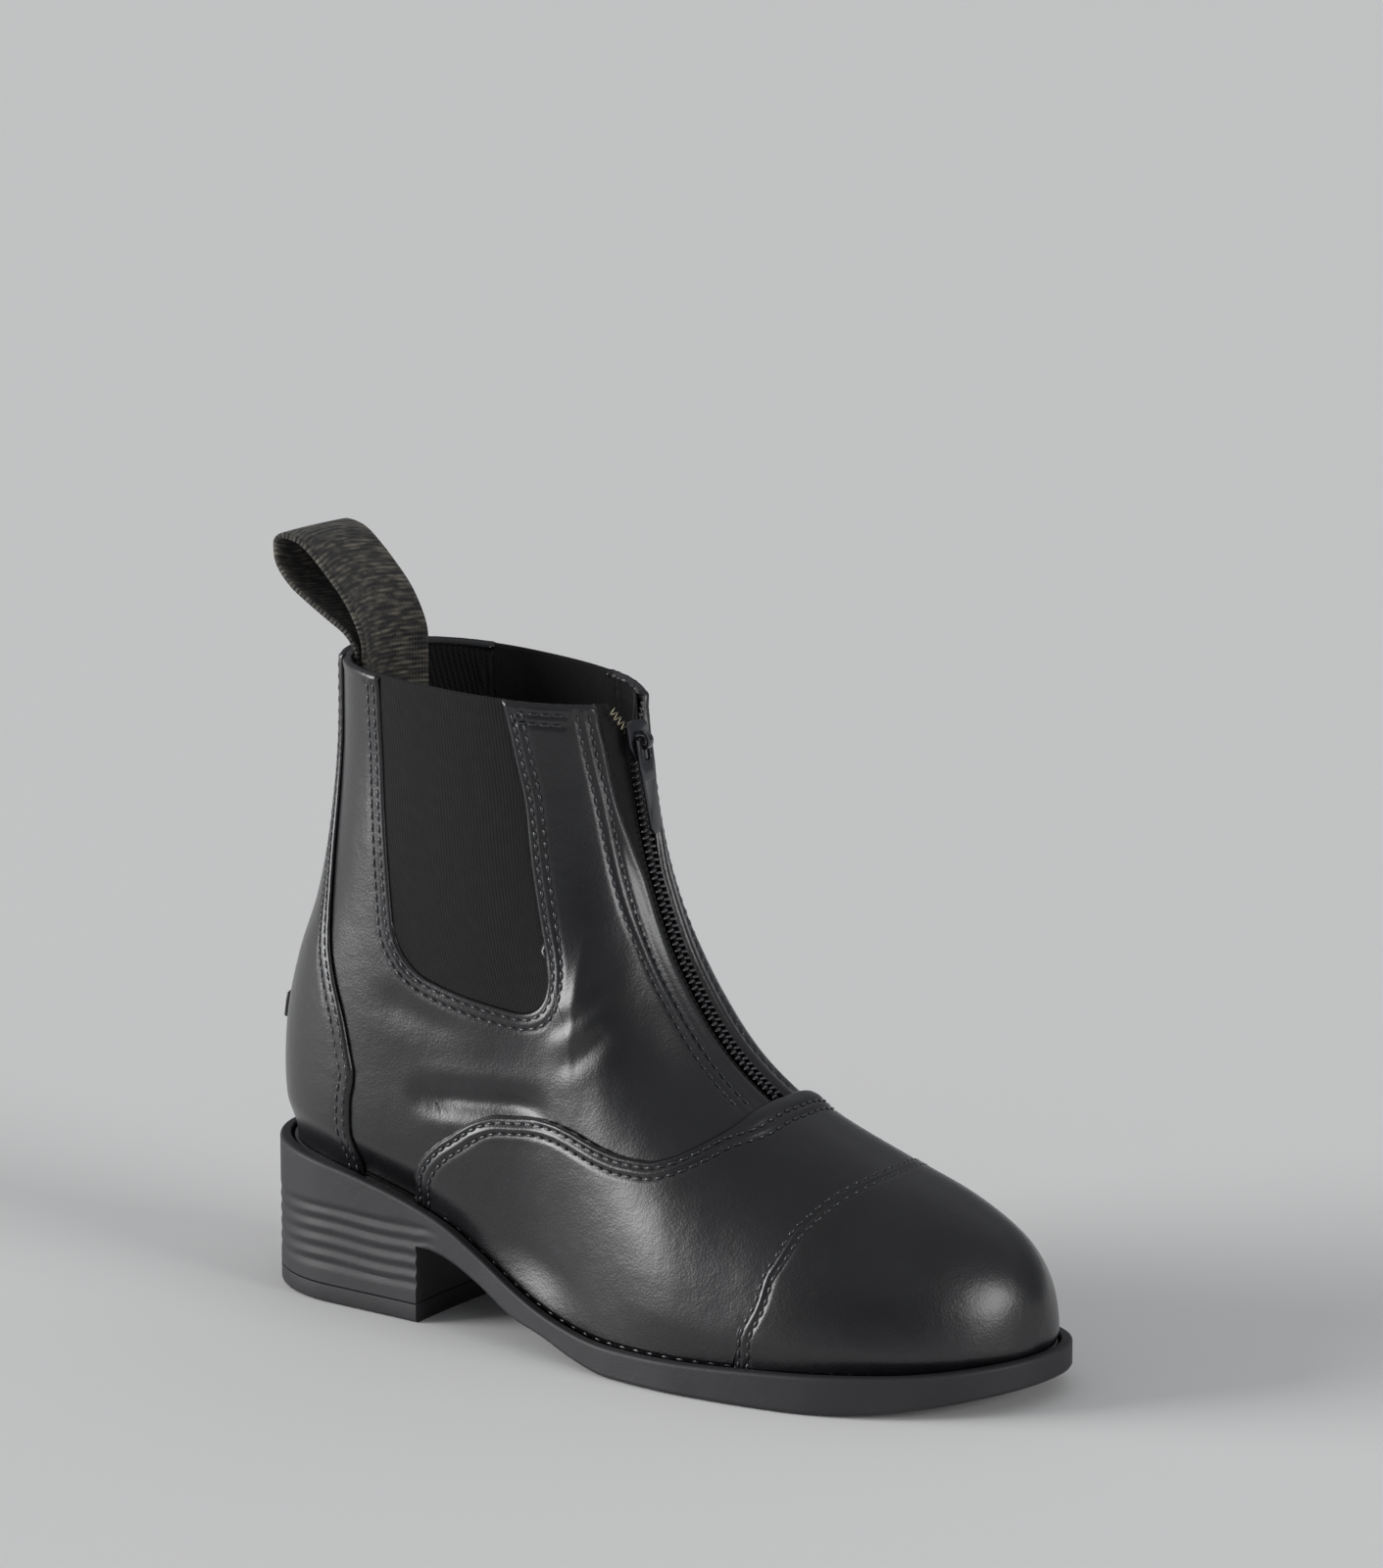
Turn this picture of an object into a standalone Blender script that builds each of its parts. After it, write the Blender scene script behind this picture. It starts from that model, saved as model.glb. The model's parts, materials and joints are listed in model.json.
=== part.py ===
"""Right paddock boot with a front zip and elastic gores, in metres.

The toe points along +X, the lateral (outer) side is -Y and the ground is z 0. The origin is the
centre of the heel's ground face. Shape functions below take x from the back of the sole, and
`placed` moves their points to the origin. A place on the upper is a turn a (0 back centre, 1 front
centre, past 1 on the medial side) and a share v (0 at the sole, 1 at the collar).
"""

import bisect
import math

import bpy
from mathutils import Vector

# Driving sizes.
SOLE_LENGTH = 0.2325
BALL_WIDTH = 0.0842
HEEL_LENGTH = 0.0605
HEEL_HEIGHT = 0.0405
INSTEP_HEIGHT = 0.0782
BOOT_HEIGHT = 0.1710
COLLAR_WIDTH = 0.0550
LOOP_HEIGHT = 0.0283
TOP_LIFT = 0.0050

# Clearances between pieces: everywhere, under the overlays, and under the vamp.
GAP, SEAM_GAP, VAMP_GAP = 0.0003, 0.0004, 0.0008

# Walls, and the steps of the sole's edge.
WALL = 0.0022
OVERLAY, CAP_OVERLAY = 0.0010, 0.0015
SOLE_EDGE = 0.0010
RIM_EDGE = 0.0009
RIM_WIDTH = 0.0026
WELT_WIDTH = 0.0054
WELT_DROP, WELT_FLOOR = 0.0013, 0.0032
FEATHER_INSET = 0.0055
SEAT_DROP = 0.0007
HEEL_JOIN = 0.0270
RIB_LOW, RIB_HIGH, RIB_FADE = 0.0085, 0.0255, 0.0020
RIB_PITCH, RIB_DEPTH = 0.0038, 0.0005

# Turn of the foot's centre line to the medial side.
SWING, SWING_FROM = 0.0070, 0.45

# Radii and powers of the rounded outlines and sections.
HEEL_ROUND, HEEL_POWER = 0.030, 2.05
TOE_ROUND, TOE_POWER = 0.050, 2.25
TUCK, HEEL_TUCK = 0.30, 0.016
TOP_POWER, TOP_ROOT = 2.3, 2.05
SHAFT_POWER, SHAFT_ROOT_BACK, SHAFT_ROOT_FRONT = 2.3, 2.1, 2.05
SHAFT_MIDDLE, SHAFT_REACH = 0.45, 0.110
FOOT_FROM, FOOT_BLEND = 0.3226 * SOLE_LENGTH, 0.2151 * SOLE_LENGTH
ANKLE_FROM, ANKLE_BLEND = 0.4971 * BOOT_HEIGHT, 0.2047 * BOOT_HEIGHT
RELAX = 2.2

# Grids of the upper and of the sole's outline. Rows are closer together near the sole.
UPPER_ROWS, UPPER_COLUMNS, ROW_POWER = 20, 48, 1.35
SOLE_STEPS, HEEL_STEPS, HEEL_ROWS = 34, 12, 18
OVERLAY_FOOT, SEAM_SHARE, VAMP_LEAST = 0.004, 0.003, 0.02

# Zip, its slider and pull tab, and the webbing of the pull loop.
TEETH_HALF = 0.0025
TAPE_HALF, TAPE_THICK = 0.0105, 0.0008
BAR_HEIGHT, TAB_HALF = 0.0027, 0.0005
CROWN_INNER, CROWN_OUTER, CROWN_HALF, CROWN_FOOT = 0.0015, 0.0025, 0.0008, 0.0015
WEBBING_WIDTH, WEBBING_THICK, WEBBING_BEND = 0.027, 0.0014, 0.0050

# Half widths of the sole, as shares of the ball's width: share of the length, lateral, medial.
SOLE_WIDTHS = (
    (0.00, 0.3207, 0.3207),
    (0.12, 0.3385, 0.3385),
    (0.26, 0.3563, 0.3444),
    (0.36, 0.3777, 0.3385),
    (0.46, 0.4335, 0.3622),
    (0.56, 0.5048, 0.4216),
    (0.66, 0.5344, 0.4656),
    (0.78, 0.5166, 0.4584),
    (0.90, 0.4572, 0.4216),
    (1.00, 0.3919, 0.3800),
)
# Heights of the sole, as shares of the heel's: share of the length, top of the rim, underside.
SOLE_HEIGHTS = (
    (0.00, 1.0000, 0.5309),
    (0.10, 0.9506, 0.5309),
    (0.20, 0.8519, 0.5309),
    (0.26, 0.7654, 0.5111),
    (0.30, 0.6864, 0.4691),
    (0.35, 0.5383, 0.3457),
    (0.40, 0.3901, 0.1975),
    (0.45, 0.2840, 0.1284),
    (0.50, 0.2247, 0.0494),
    (0.56, 0.2000, 0.0000),
    (0.66, 0.2099, 0.0000),
    (0.76, 0.2395, 0.0000),
    (0.84, 0.2593, 0.0123),
    (0.92, 0.2765, 0.0593),
    (1.00, 0.3259, 0.1432),
)
# Back line of the upper: share v, x as a share of the length, height (0 at the sole, 1 at the collar).
BACK = (
    (0.00, 0.0237, 0.0000),
    (0.06, 0.0181, 0.0653),
    (0.14, 0.0151, 0.1489),
    (0.24, 0.0194, 0.2553),
    (0.36, 0.0366, 0.3769),
    (0.50, 0.0645, 0.5061),
    (0.65, 0.0839, 0.6581),
    (0.82, 0.0946, 0.8252),
    (1.00, 0.0968, 1.0000),
)
# Front line: share v, x as a share of the length, height (0 at the sole, 1 at the instep, 2 at the collar).
FRONT = (
    (0.00, 0.9763, 0.0000),
    (0.04, 0.9781, 0.1448),
    (0.09, 0.9677, 0.2775),
    (0.15, 0.9355, 0.4057),
    (0.22, 0.8688, 0.5294),
    (0.30, 0.7742, 0.6531),
    (0.39, 0.6753, 0.8084),
    (0.48, 0.6022, 1.0000),
    (0.58, 0.5441, 1.1972),
    (0.70, 0.5024, 1.4397),
    (0.85, 0.4774, 1.6983),
    (1.00, 0.4645, 1.9407),
)
# Widest half widths of the foot, as shares of the ball's width: share of the length, lateral, medial.
FOOT_WIDTHS = (
    (0.00, 0.3563, 0.3563),
    (0.30, 0.3444, 0.3444),
    (0.42, 0.3563, 0.3444),
    (0.52, 0.4157, 0.3741),
    (0.62, 0.4751, 0.4157),
    (0.72, 0.4810, 0.4276),
    (0.82, 0.4572, 0.4157),
    (0.92, 0.4157, 0.3800),
    (1.00, 0.3563, 0.3325),
)
# Half widths of heel and shaft, as shares of the collar's width: share of the boot's height, half width.
SHAFT_WIDTHS = (
    (0.205, 0.4909),
    (0.292, 0.5364),
    (0.409, 0.5636),
    (0.556, 0.5545),
    (0.702, 0.5273),
    (0.877, 0.5000),
    (1.082, 0.5000),
)
# Seams on the upper, mirrored to the medial side: turn a (0 back centre, 1 front centre), share v.
CAP_EDGE = (
    (0.648, 0.000),
    (0.652, 0.040),
    (0.667, 0.080),
    (0.681, 0.120),
    (0.700, 0.150),
    (0.728, 0.185),
    (0.771, 0.220),
    (0.827, 0.252),
    (0.884, 0.271),
    (0.931, 0.280),
    (1.000, 0.285),
)
VAMP_EDGE = (
    (0.322, 0.000),
    (0.332, 0.050),
    (0.347, 0.095),
    (0.370, 0.145),
    (0.397, 0.192),
    (0.435, 0.250),
    (0.468, 0.284),
    (0.496, 0.299),
    (0.520, 0.309),
    (0.548, 0.313),
    (0.572, 0.309),
    (0.586, 0.300),
    (0.605, 0.290),
    (0.624, 0.285),
    (0.648, 0.285),
    (0.676, 0.295),
    (0.728, 0.322),
    (0.780, 0.348),
    (0.832, 0.370),
    (0.893, 0.391),
    (0.950, 0.402),
    (1.000, 0.404),
)
# Edge of the counter and backstrip: share v, turn a.
COUNTER_EDGE = (
    (0.000, 0.256),
    (0.055, 0.260),
    (0.140, 0.269),
    (0.220, 0.284),
    (0.275, 0.284),
    (0.330, 0.279),
    (0.385, 0.265),
    (0.455, 0.241),
    (0.560, 0.213),
    (0.700, 0.180),
    (0.855, 0.161),
    (1.000, 0.155),
)
# Sides of the gore: share v, turn a of the back side, turn a of the front side.
GORE_SIDES = (
    (0.50, 0.386, 0.664),
    (0.60, 0.382, 0.668),
    (0.70, 0.373, 0.677),
    (0.80, 0.364, 0.682),
    (0.90, 0.360, 0.670),
    (1.00, 0.358, 0.652),
)
GORE_FOOT = 0.495
GORE_BACK_CORNER = (0.19, 0.060)
GORE_FRONT_CORNER = (0.34, 0.115)
# Half width of the zip opening: share v, half width.
ZIP_WIDTHS = (
    (0.42, 0.0036),
    (0.70, 0.0036),
    (0.76, 0.0052),
    (0.83, 0.0076),
    (0.93, 0.0090),
    (1.00, 0.0106),
)
ZIP_FOOT = 0.422
# How far a hole's cutter passes the wall on both sides, and its share v past the collar.
HOLE_REACH, HOLE_TOP = 0.006, 1.03
PANEL_TOP = 0.995
SLIDER_AT, TAB_REACH = 0.930, 0.12
# Side view of the pull loop from the collar's back, as shares of the loop's height, inner end first.
LOOP_LINE = (
    (0.194, -0.742),
    (0.198, -0.318),
    (0.198, 0.025),
    (0.152, 0.283),
    (0.078, 0.477),
    (-0.039, 0.647),
    (-0.205, 0.827),
    (-0.406, 0.968),
    (-0.583, 1.000),
    (-0.668, 0.926),
    (-0.654, 0.760),
    (-0.530, 0.558),
    (-0.353, 0.417),
    (-0.159, 0.283),
    (0.011, 0.166),
    (0.117, 0.007),
    (0.134, -0.318),
    (0.131, -0.742),
)
# Outline of the pull tab's half: distance below its bar, half width.
TAB_OUTLINE = (
    (-0.0008, 0.0022),
    (-0.0002, 0.0030),
    (0.0065, 0.0030),
    (0.0100, 0.0026),
    (0.0225, 0.0019),
    (0.0240, 0.0011),
)
# Outline of the slider's half: distance below its middle, half width.
SLIDER_OUTLINE = ((-0.0052, 0.0026), (-0.0040, 0.0040), (0.0010, 0.0040), (0.0050, 0.0024))
# Half of the hole in the pull tab: distance below its bar, half width.
EYE_OUTLINE = ((0.0009, 0.0014), (0.0046, 0.0014), (0.0052, 0.0008))
# Places of the spur rest on the counter: turn to each side, lower and upper share.
SPUR_REST_TURN, SPUR_REST_SHARES, SPUR_REST_THICK = 0.06, (0.215, 0.262), 0.0014
# Columns of the vamp's grid, close together where its edge bends: turn a up to the front centre.
VAMP_HALF = (0.3225, 0.334, 0.350, 0.372, 0.400, 0.432, 0.462, 0.495, 0.522, 0.548, 0.574, 0.602)
VAMP_HALF += (0.628, 0.6475, 0.6525, 0.668, 0.690, 0.718, 0.755, 0.800, 0.850, 0.900, 0.950)
VAMP_TURNS = VAMP_HALF + (1.0,) + tuple(2 - a for a in VAMP_HALF[::-1])


def column(table, index, size=1.0):
    """Rows of (first column, chosen column), the chosen one times a size."""
    return tuple((row[0], row[index] * size) for row in table)


def knot_slope(table, k):
    """Slope of the smooth curve at knot k: none at a peak, so it never overshoots."""
    last = len(table) - 1
    if k == 0 or k == last:
        a, b = (table[0], table[1]) if k == 0 else (table[last - 1], table[last])
        return (b[1] - a[1]) / (b[0] - a[0])
    before, after = table[k][0] - table[k - 1][0], table[k + 1][0] - table[k][0]
    left = (table[k][1] - table[k - 1][1]) / before
    right = (table[k + 1][1] - table[k][1]) / after
    return 0.0 if left * right <= 0 else (left * after + right * before) / (before + after)


def curve(table, x):
    """Smooth curve through (x, value) rows, straight beyond both ends."""
    if x <= table[0][0]:
        return table[0][1] + knot_slope(table, 0) * (x - table[0][0])
    if x >= table[-1][0]:
        return table[-1][1] + knot_slope(table, len(table) - 1) * (x - table[-1][0])
    i = bisect.bisect_right([row[0] for row in table], x) - 1
    (x0, y0), (x1, y1) = table[i], table[i + 1]
    span, t = x1 - x0, (x - x0) / (x1 - x0)
    m0, m1 = knot_slope(table, i) * span, knot_slope(table, i + 1) * span
    return (
        (2 * t**3 - 3 * t * t + 1) * y0
        + (t**3 - 2 * t * t + t) * m0
        + (3 * t * t - 2 * t**3) * y1
        + (t**3 - t * t) * m1
    )


def lerp(a, b, t):
    """Value a share t of the way from a to b."""
    return a + (b - a) * t


def smooth(t):
    """Soft step from 0 at t 0 to 1 at t 1."""
    t = min(1.0, max(0.0, t))
    return t * t * (3 - 2 * t)


def rounded(t, power):
    """Superellipse end: 0 at t 0, 1 from t 1 on."""
    return (1 - (1 - min(1.0, max(0.0, t))) ** power) ** (1 / power)


def inverse(table, rising, low):
    """Pairs (value, row parameter) of a profile column, sorted by value, for `looked_up`."""
    steps = [lerp(low, 1.0, i / 400) for i in range(401)]
    pairs = [(curve(table, v), v) for v in steps]
    return pairs if rising else pairs[::-1]


def looked_up(pairs, value):
    """Row parameter at which the profile reaches the value."""
    i = min(len(pairs) - 1, max(1, bisect.bisect_left(pairs, (value, 0.0))))
    (a, va), (b, vb) = pairs[i - 1], pairs[i]
    return lerp(va, vb, min(1.0, max(0.0, (value - a) / (b - a))))


SOLE_LATERAL, SOLE_MEDIAL = column(SOLE_WIDTHS, 1, BALL_WIDTH), column(SOLE_WIDTHS, 2, BALL_WIDTH)
SOLE_TOP, SOLE_UNDER = column(SOLE_HEIGHTS, 1, HEEL_HEIGHT), column(SOLE_HEIGHTS, 2, HEEL_HEIGHT)
FOOT_LATERAL, FOOT_MEDIAL = column(FOOT_WIDTHS, 1, BALL_WIDTH), column(FOOT_WIDTHS, 2, BALL_WIDTH)
SHAFT_HALF = tuple((z * BOOT_HEIGHT, half * COLLAR_WIDTH) for z, half in SHAFT_WIDTHS)
BACK_X, FRONT_X = column(BACK, 1, SOLE_LENGTH), column(FRONT, 1, SOLE_LENGTH)


GORE_BACK, GORE_FRONT = column(GORE_SIDES, 1), column(GORE_SIDES, 2)


def swing(x):
    """Distance that the boot's centre line turns to the medial side at x."""
    t = max(0.0, (x / SOLE_LENGTH - SWING_FROM) / (1 - SWING_FROM))
    return SWING * t**1.6


def sole_half(x, side, inset):
    """Half width of the sole's outline at x, drawn in by inset."""
    half = curve(SOLE_LATERAL if side < 0 else SOLE_MEDIAL, x / SOLE_LENGTH) - inset
    heel = rounded((x - inset) / HEEL_ROUND, HEEL_POWER)
    return half * heel * rounded((SOLE_LENGTH - inset - x) / TOE_ROUND, TOE_POWER)


def rim_top(x):
    """Height of the sole's rim at x."""
    return curve(SOLE_TOP, x / SOLE_LENGTH)


def seat(x):
    """Height of the upper's lower edge at x."""
    return rim_top(x) - SEAT_DROP


def front_height(step):
    """Height of the front line: 0 at the sole, 1 at the instep, 2 at the collar."""
    if step <= 1:
        return lerp(seat(FRONT_X[0][1]), INSTEP_HEIGHT, step)
    return lerp(INSTEP_HEIGHT, BOOT_HEIGHT, step - 1)


BACK_Z = tuple((v, lerp(seat(BACK_X[0][1]), BOOT_HEIGHT, share)) for v, _, share in BACK)
FRONT_Z = tuple((v, front_height(step)) for v, _, step in FRONT)
BY_BACK_Z = inverse(BACK_Z, True, 0.0)
BY_FRONT_Z = inverse(FRONT_Z, True, 0.0)
BY_FRONT_X = inverse(FRONT_X, False, 0.04)


def row_height(v, share):
    """Height of row v: a chord from back to front that sags to the sole's line at v 0."""
    chord = lerp(curve(BACK_Z, v), curve(FRONT_Z, v), share)
    back, front = BACK_X[0][1], FRONT_X[0][1]
    sag = seat(lerp(back, front, share)) - lerp(seat(back), seat(front), share)
    return chord + max(0.0, 1 - v) ** RELAX * sag


def upper_half(x, z, side):
    """Half width of the upper at x and z: foot sections ahead, level slices round heel and shaft."""
    low = seat(x)
    top = curve(FRONT_Z, looked_up(BY_FRONT_X, x))
    rise = min(1.0, max(0.0, (z - low) / max(1e-6, top - low)))
    wide = curve(FOOT_LATERAL if side < 0 else FOOT_MEDIAL, x / SOLE_LENGTH)
    wide *= rounded((FRONT_X[1][1] - x) / TOE_ROUND, TOE_POWER)
    feather = sole_half(x, side, FEATHER_INSET)
    foot = lerp(feather, wide, smooth(rise / TUCK))
    foot *= (1 - rise**TOP_POWER) ** (1 / TOP_ROOT)
    back = curve(BACK_X, looked_up(BY_BACK_Z, z))
    front = curve(FRONT_X, looked_up(BY_FRONT_Z, z))
    middle = lerp(back, min(front, SHAFT_REACH), SHAFT_MIDDLE)
    behind = x < middle
    away = (middle - x) / (middle - back) if behind else (x - middle) / (front - middle)
    root = SHAFT_ROOT_BACK if behind else SHAFT_ROOT_FRONT
    away = min(1.0, max(0.0, away))
    shaft = curve(SHAFT_HALF, z) * (1 - away**SHAFT_POWER) ** (1 / root)
    shaft = lerp(feather, shaft, smooth((z - low) / HEEL_TUCK))
    blend = smooth((x - FOOT_FROM) / FOOT_BLEND) * (1 - smooth((z - ANKLE_FROM) / ANKLE_BLEND))
    return lerp(shaft, foot, blend)


def surface(a, v):
    """Point of the upper's outer face at turn a and share v, in shape coordinates."""
    a %= 2.0
    side, u = (-1, a) if a <= 1 else (1, 2 - a)
    share = (1 - math.cos(math.pi * u)) / 2
    x = lerp(curve(BACK_X, v), curve(FRONT_X, v), share)
    z = row_height(v, share)
    return Vector((x, swing(x) + side * upper_half(x, z, side), z))


def normal(a, v):
    """Outward normal, turned level at the bottom edge so that it never dips into the welt."""
    along = surface(a + 0.012, v) - surface(a - 0.012, v)
    out = along.cross(surface(a, v + 0.01) - surface(a, max(0.0, v - 0.01))).normalized()
    out.z *= smooth(v / 0.08)
    return out.normalized()


def offset(a, v, distance):
    """Point at a distance outside the upper's outer face."""
    return surface(a, v) + normal(a, v) * distance


def turn_at(v, across):
    """Turn a at which row v lies a distance across (+ medial) from the front ridge."""
    side = -1 if across < 0 else 1
    low, high = 0.5, 1.0
    for _ in range(26):
        middle = (low + high) / 2
        point = surface(middle if side < 0 else 2 - middle, v)
        if abs(point.y - swing(point.x)) > abs(across):
            low = middle
        else:
            high = middle
    return high if side < 0 else 2 - high


def placed(point):
    """Shape coordinates moved so that the heel's ground face is centred on the origin."""
    return (point[0] - HEEL_LENGTH / 2, point[1], point[2])


def add_object(name, points, faces, material):
    """Object of the boot from points in shape coordinates."""
    mesh = bpy.data.meshes.new(name)
    mesh.from_pydata([placed(p) for p in points], [], faces)
    mesh.materials.append(material)
    made = bpy.data.objects.new(name, mesh)
    BOOT.objects.link(made)
    return made


def grid_faces(rows, columns, start, closed):
    """Quads of a grid of points stored row by row."""
    faces = []
    for j in range(rows - 1):
        for i in range(columns if closed else columns - 1):
            k = (i + 1) % columns
            low, high = start + j * columns, start + (j + 1) * columns
            faces.append((low + i, low + k, high + k, high + i))
    return faces


def rim_faces(rows, columns, shift):
    """Quads joining the border of a grid to the border of its copy, shift points later."""
    loop = list(range(columns))
    loop += [j * columns + columns - 1 for j in range(1, rows)]
    loop += [(rows - 1) * columns + i for i in range(columns - 2, -1, -1)]
    loop += [j * columns for j in range(rows - 2, 0, -1)]
    pairs = zip(loop, loop[1:] + loop[:1])
    return [(b, a, a + shift, b + shift) for a, b in pairs]


def patch(name, where, rows, columns, inner, outer, material):
    """Solid sheet over part of the upper: where(s, t) gives its turn and share."""
    places = [where(i / (columns - 1), j / (rows - 1)) for j in range(rows) for i in range(columns)]
    points = [offset(a, v, distance) for distance in (outer, inner) for a, v in places]
    count = rows * columns
    faces = grid_faces(rows, columns, 0, False) + rim_faces(rows, columns, count)
    faces += [face[::-1] for face in grid_faces(rows, columns, count, False)]
    return add_object(name, points, faces, material)


def outline_point(x, side, inset, z):
    """Point of the sole's outline at x, drawn in by inset."""
    return Vector((x, swing(x) + side * sole_half(x, side, inset), z))


def sole_outline(inset, height):
    """Closed loop round the whole sole, closer together at its ends, at height(x)."""
    turns = [math.pi * i / SOLE_STEPS for i in range(SOLE_STEPS + 1)]
    xs = [lerp(inset, SOLE_LENGTH - inset, (1 - math.cos(turn)) / 2) for turn in turns]
    lateral = [outline_point(x, -1, inset, height(x)) for x in xs]
    medial = [outline_point(x, 1, inset, height(x)) for x in xs]
    return lateral + medial[-2:0:-1]


def heel_outline(inset, z):
    """Closed loop round the heel, with its flat breast."""
    turns = [math.pi / 2 * i / HEEL_STEPS for i in range(HEEL_STEPS + 1)]
    xs = [lerp(inset, HEEL_LENGTH, 1 - math.cos(turn)) for turn in turns]
    lateral = [outline_point(x, -1, inset, z) for x in xs]
    return lateral + [outline_point(x, 1, inset, z) for x in xs[:0:-1]]


def ladder(count, start, up):
    """Faces that close an outline loop, rung by rung."""
    faces = [(start, start + 1, start + count - 1)]
    for i in range(1, count // 2):
        j, k = count - i, count - i - 1
        if i + 1 < k:
            faces.append((start + i, start + i + 1, start + k, start + j))
        elif i + 1 == k:
            faces.append((start + i, start + i + 1, start + j))
    return faces if up else [face[::-1] for face in faces]


def stacked(name, loops, material):
    """Solid through outline loops from the bottom up, closed at both ends."""
    count = len(loops[0])
    points = [point for loop in loops for point in loop]
    faces = grid_faces(len(loops), count, 0, True)
    faces += ladder(count, 0, False) + ladder(count, (len(loops) - 1) * count, True)
    return add_object(name, points, faces, material)


def ring(name, loops, material):
    """Solid ring whose section has one corner on each loop."""
    points = [point for loop in loops for point in loop]
    faces = grid_faces(len(loops) + 1, len(loops[0]), 0, True)
    faces = [tuple(corner % len(points) for corner in face) for face in faces]
    return add_object(name, points, faces, material)


def level(drop):
    """Height function a distance below the rim's top."""
    return lambda x: rim_top(x) - drop


def cut(target, tool, operation):
    """Applies an exact Boolean and puts its tool with the hidden cutters."""
    modifier = target.modifiers.new(operation.lower() + "_" + tool.name, "BOOLEAN")
    modifier.operation, modifier.solver, modifier.object = operation, "EXACT", tool
    BOOT.objects.unlink(tool)
    CUTTERS.objects.link(tool)
    tool.hide_render = True
    tool.display_type = "WIRE"


def painted(name, colour, roughness, metallic):
    """Material of one colour."""
    made = bpy.data.materials.new(name)
    made.use_nodes = True
    shader = made.node_tree.nodes["Principled BSDF"]
    shader.inputs["Base Color"].default_value = (*colour, 1.0)
    shader.inputs["Roughness"].default_value = roughness
    shader.inputs["Metallic"].default_value = metallic
    made.diffuse_color = (*colour, 1.0)
    return made


def clear_scene():
    """Removes every object of the scene."""
    for item in list(bpy.data.objects):
        bpy.data.objects.remove(item, do_unlink=True)


def new_collection(name, hidden):
    """Collection of the scene, left out of renders if hidden."""
    made = bpy.data.collections.new(name)
    bpy.context.scene.collection.children.link(made)
    made.hide_render = hidden
    return made


clear_scene()
BOOT = new_collection("paddock_boot", False)
CUTTERS = new_collection("cutters", True)
LEATHER = painted("black_leather", (0.012, 0.012, 0.015), 0.38, 0.0)
RUBBER = painted("charcoal_rubber", (0.035, 0.035, 0.040), 0.62, 0.0)
WELT = painted("glossy_welt", (0.008, 0.008, 0.009), 0.30, 0.0)
ELASTIC = painted("black_elastic", (0.010, 0.010, 0.011), 0.85, 0.0)
TAPE = painted("zip_tape", (0.010, 0.010, 0.011), 0.75, 0.0)
WEBBING = painted("grey_webbing", (0.080, 0.075, 0.070), 0.80, 0.0)
METAL = painted("black_metal", (0.020, 0.020, 0.022), 0.25, 0.6)
LINING = painted("insole_board", (0.030, 0.028, 0.026), 0.80, 0.0)


def under(rise):
    """Height function a distance above the sole's underside."""
    return lambda x: curve(SOLE_UNDER, x / SOLE_LENGTH) + rise


def rib_depth(z):
    """Depth of the heel's soft ribs at a height."""
    band = smooth((z - RIB_LOW) / RIB_FADE) * (1 - smooth((z - RIB_HIGH) / RIB_FADE))
    return RIB_DEPTH * band * (0.5 - 0.5 * math.cos(2 * math.pi * (z - RIB_LOW) / RIB_PITCH))


def build_sole():
    """Outsole with its heel block, top lift, welt and insole."""
    rim = (
        (SOLE_EDGE * 1.2, under(0.0)),
        (0.0, under(SOLE_EDGE)),
        (0.0, level(RIM_EDGE)),
        (RIM_EDGE * 0.3, level(RIM_EDGE * 0.3)),
        (RIM_EDGE, level(0.0)),
        (RIM_WIDTH, level(0.0)),
        (RIM_WIDTH, level(WELT_FLOOR)),
    )
    outsole = stacked("outsole", [sole_outline(inset, height) for inset, height in rim], RUBBER)
    heights = [lerp(TOP_LIFT + GAP, HEEL_JOIN, j / HEEL_ROWS) for j in range(HEEL_ROWS + 1)]
    block = stacked("heel_block", [heel_outline(rib_depth(z), z) for z in heights], RUBBER)
    cut(outsole, block, "UNION")
    lift = ((2 * GAP, 0.0), (0.0, 2 * GAP), (0.0, TOP_LIFT))
    stacked("top_lift", [heel_outline(inset, z) for inset, z in lift], RUBBER)
    low, outer = WELT_FLOOR - 2 * GAP, RIM_WIDTH + GAP
    corners = ((outer, low), (outer, WELT_DROP))
    corners += tuple((RIM_WIDTH + WELT_WIDTH, drop) for drop in (WELT_DROP, low))
    ring("welt", [sole_outline(inset, level(drop)) for inset, drop in corners], WELT)
    inset = FEATHER_INSET + WALL + 3 * GAP
    stacked("insole", [sole_outline(inset, level(drop)) for drop in (low, 0.0)], LINING)


def row_share(j):
    """Share v of the upper's row j."""
    return (j / (UPPER_ROWS - 1)) ** ROW_POWER


def build_upper():
    """Hollow upper, open at the collar and underneath, with holes for the gores and the zip."""
    columns = UPPER_COLUMNS
    points = []
    for distance in (0.0, -WALL):
        for j in range(UPPER_ROWS):
            points += [offset(2 * i / columns, row_share(j), distance) for i in range(columns)]
    count = UPPER_ROWS * columns
    faces = grid_faces(UPPER_ROWS, columns, 0, True)
    faces += [face[::-1] for face in grid_faces(UPPER_ROWS, columns, count, True)]
    for i in range(columns):
        k = (i + 1) % columns
        faces.append((k, i, count + i, count + k))
        i, k = i + count - columns, k + count - columns
        faces.append((i, k, count + k, count + i))
    upper = add_object("upper", points, faces, LEATHER)
    for side in (-1, 1):
        cut(upper, gore_patch("gore_hole", side, 0.0, HOLE_REACH, -HOLE_REACH, HOLE_TOP), "DIFFERENCE")
    slot = patch("zip_hole", zip_place, 14, 9, -HOLE_REACH, HOLE_REACH, LEATHER)
    cut(upper, slot, "DIFFERENCE")


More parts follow.
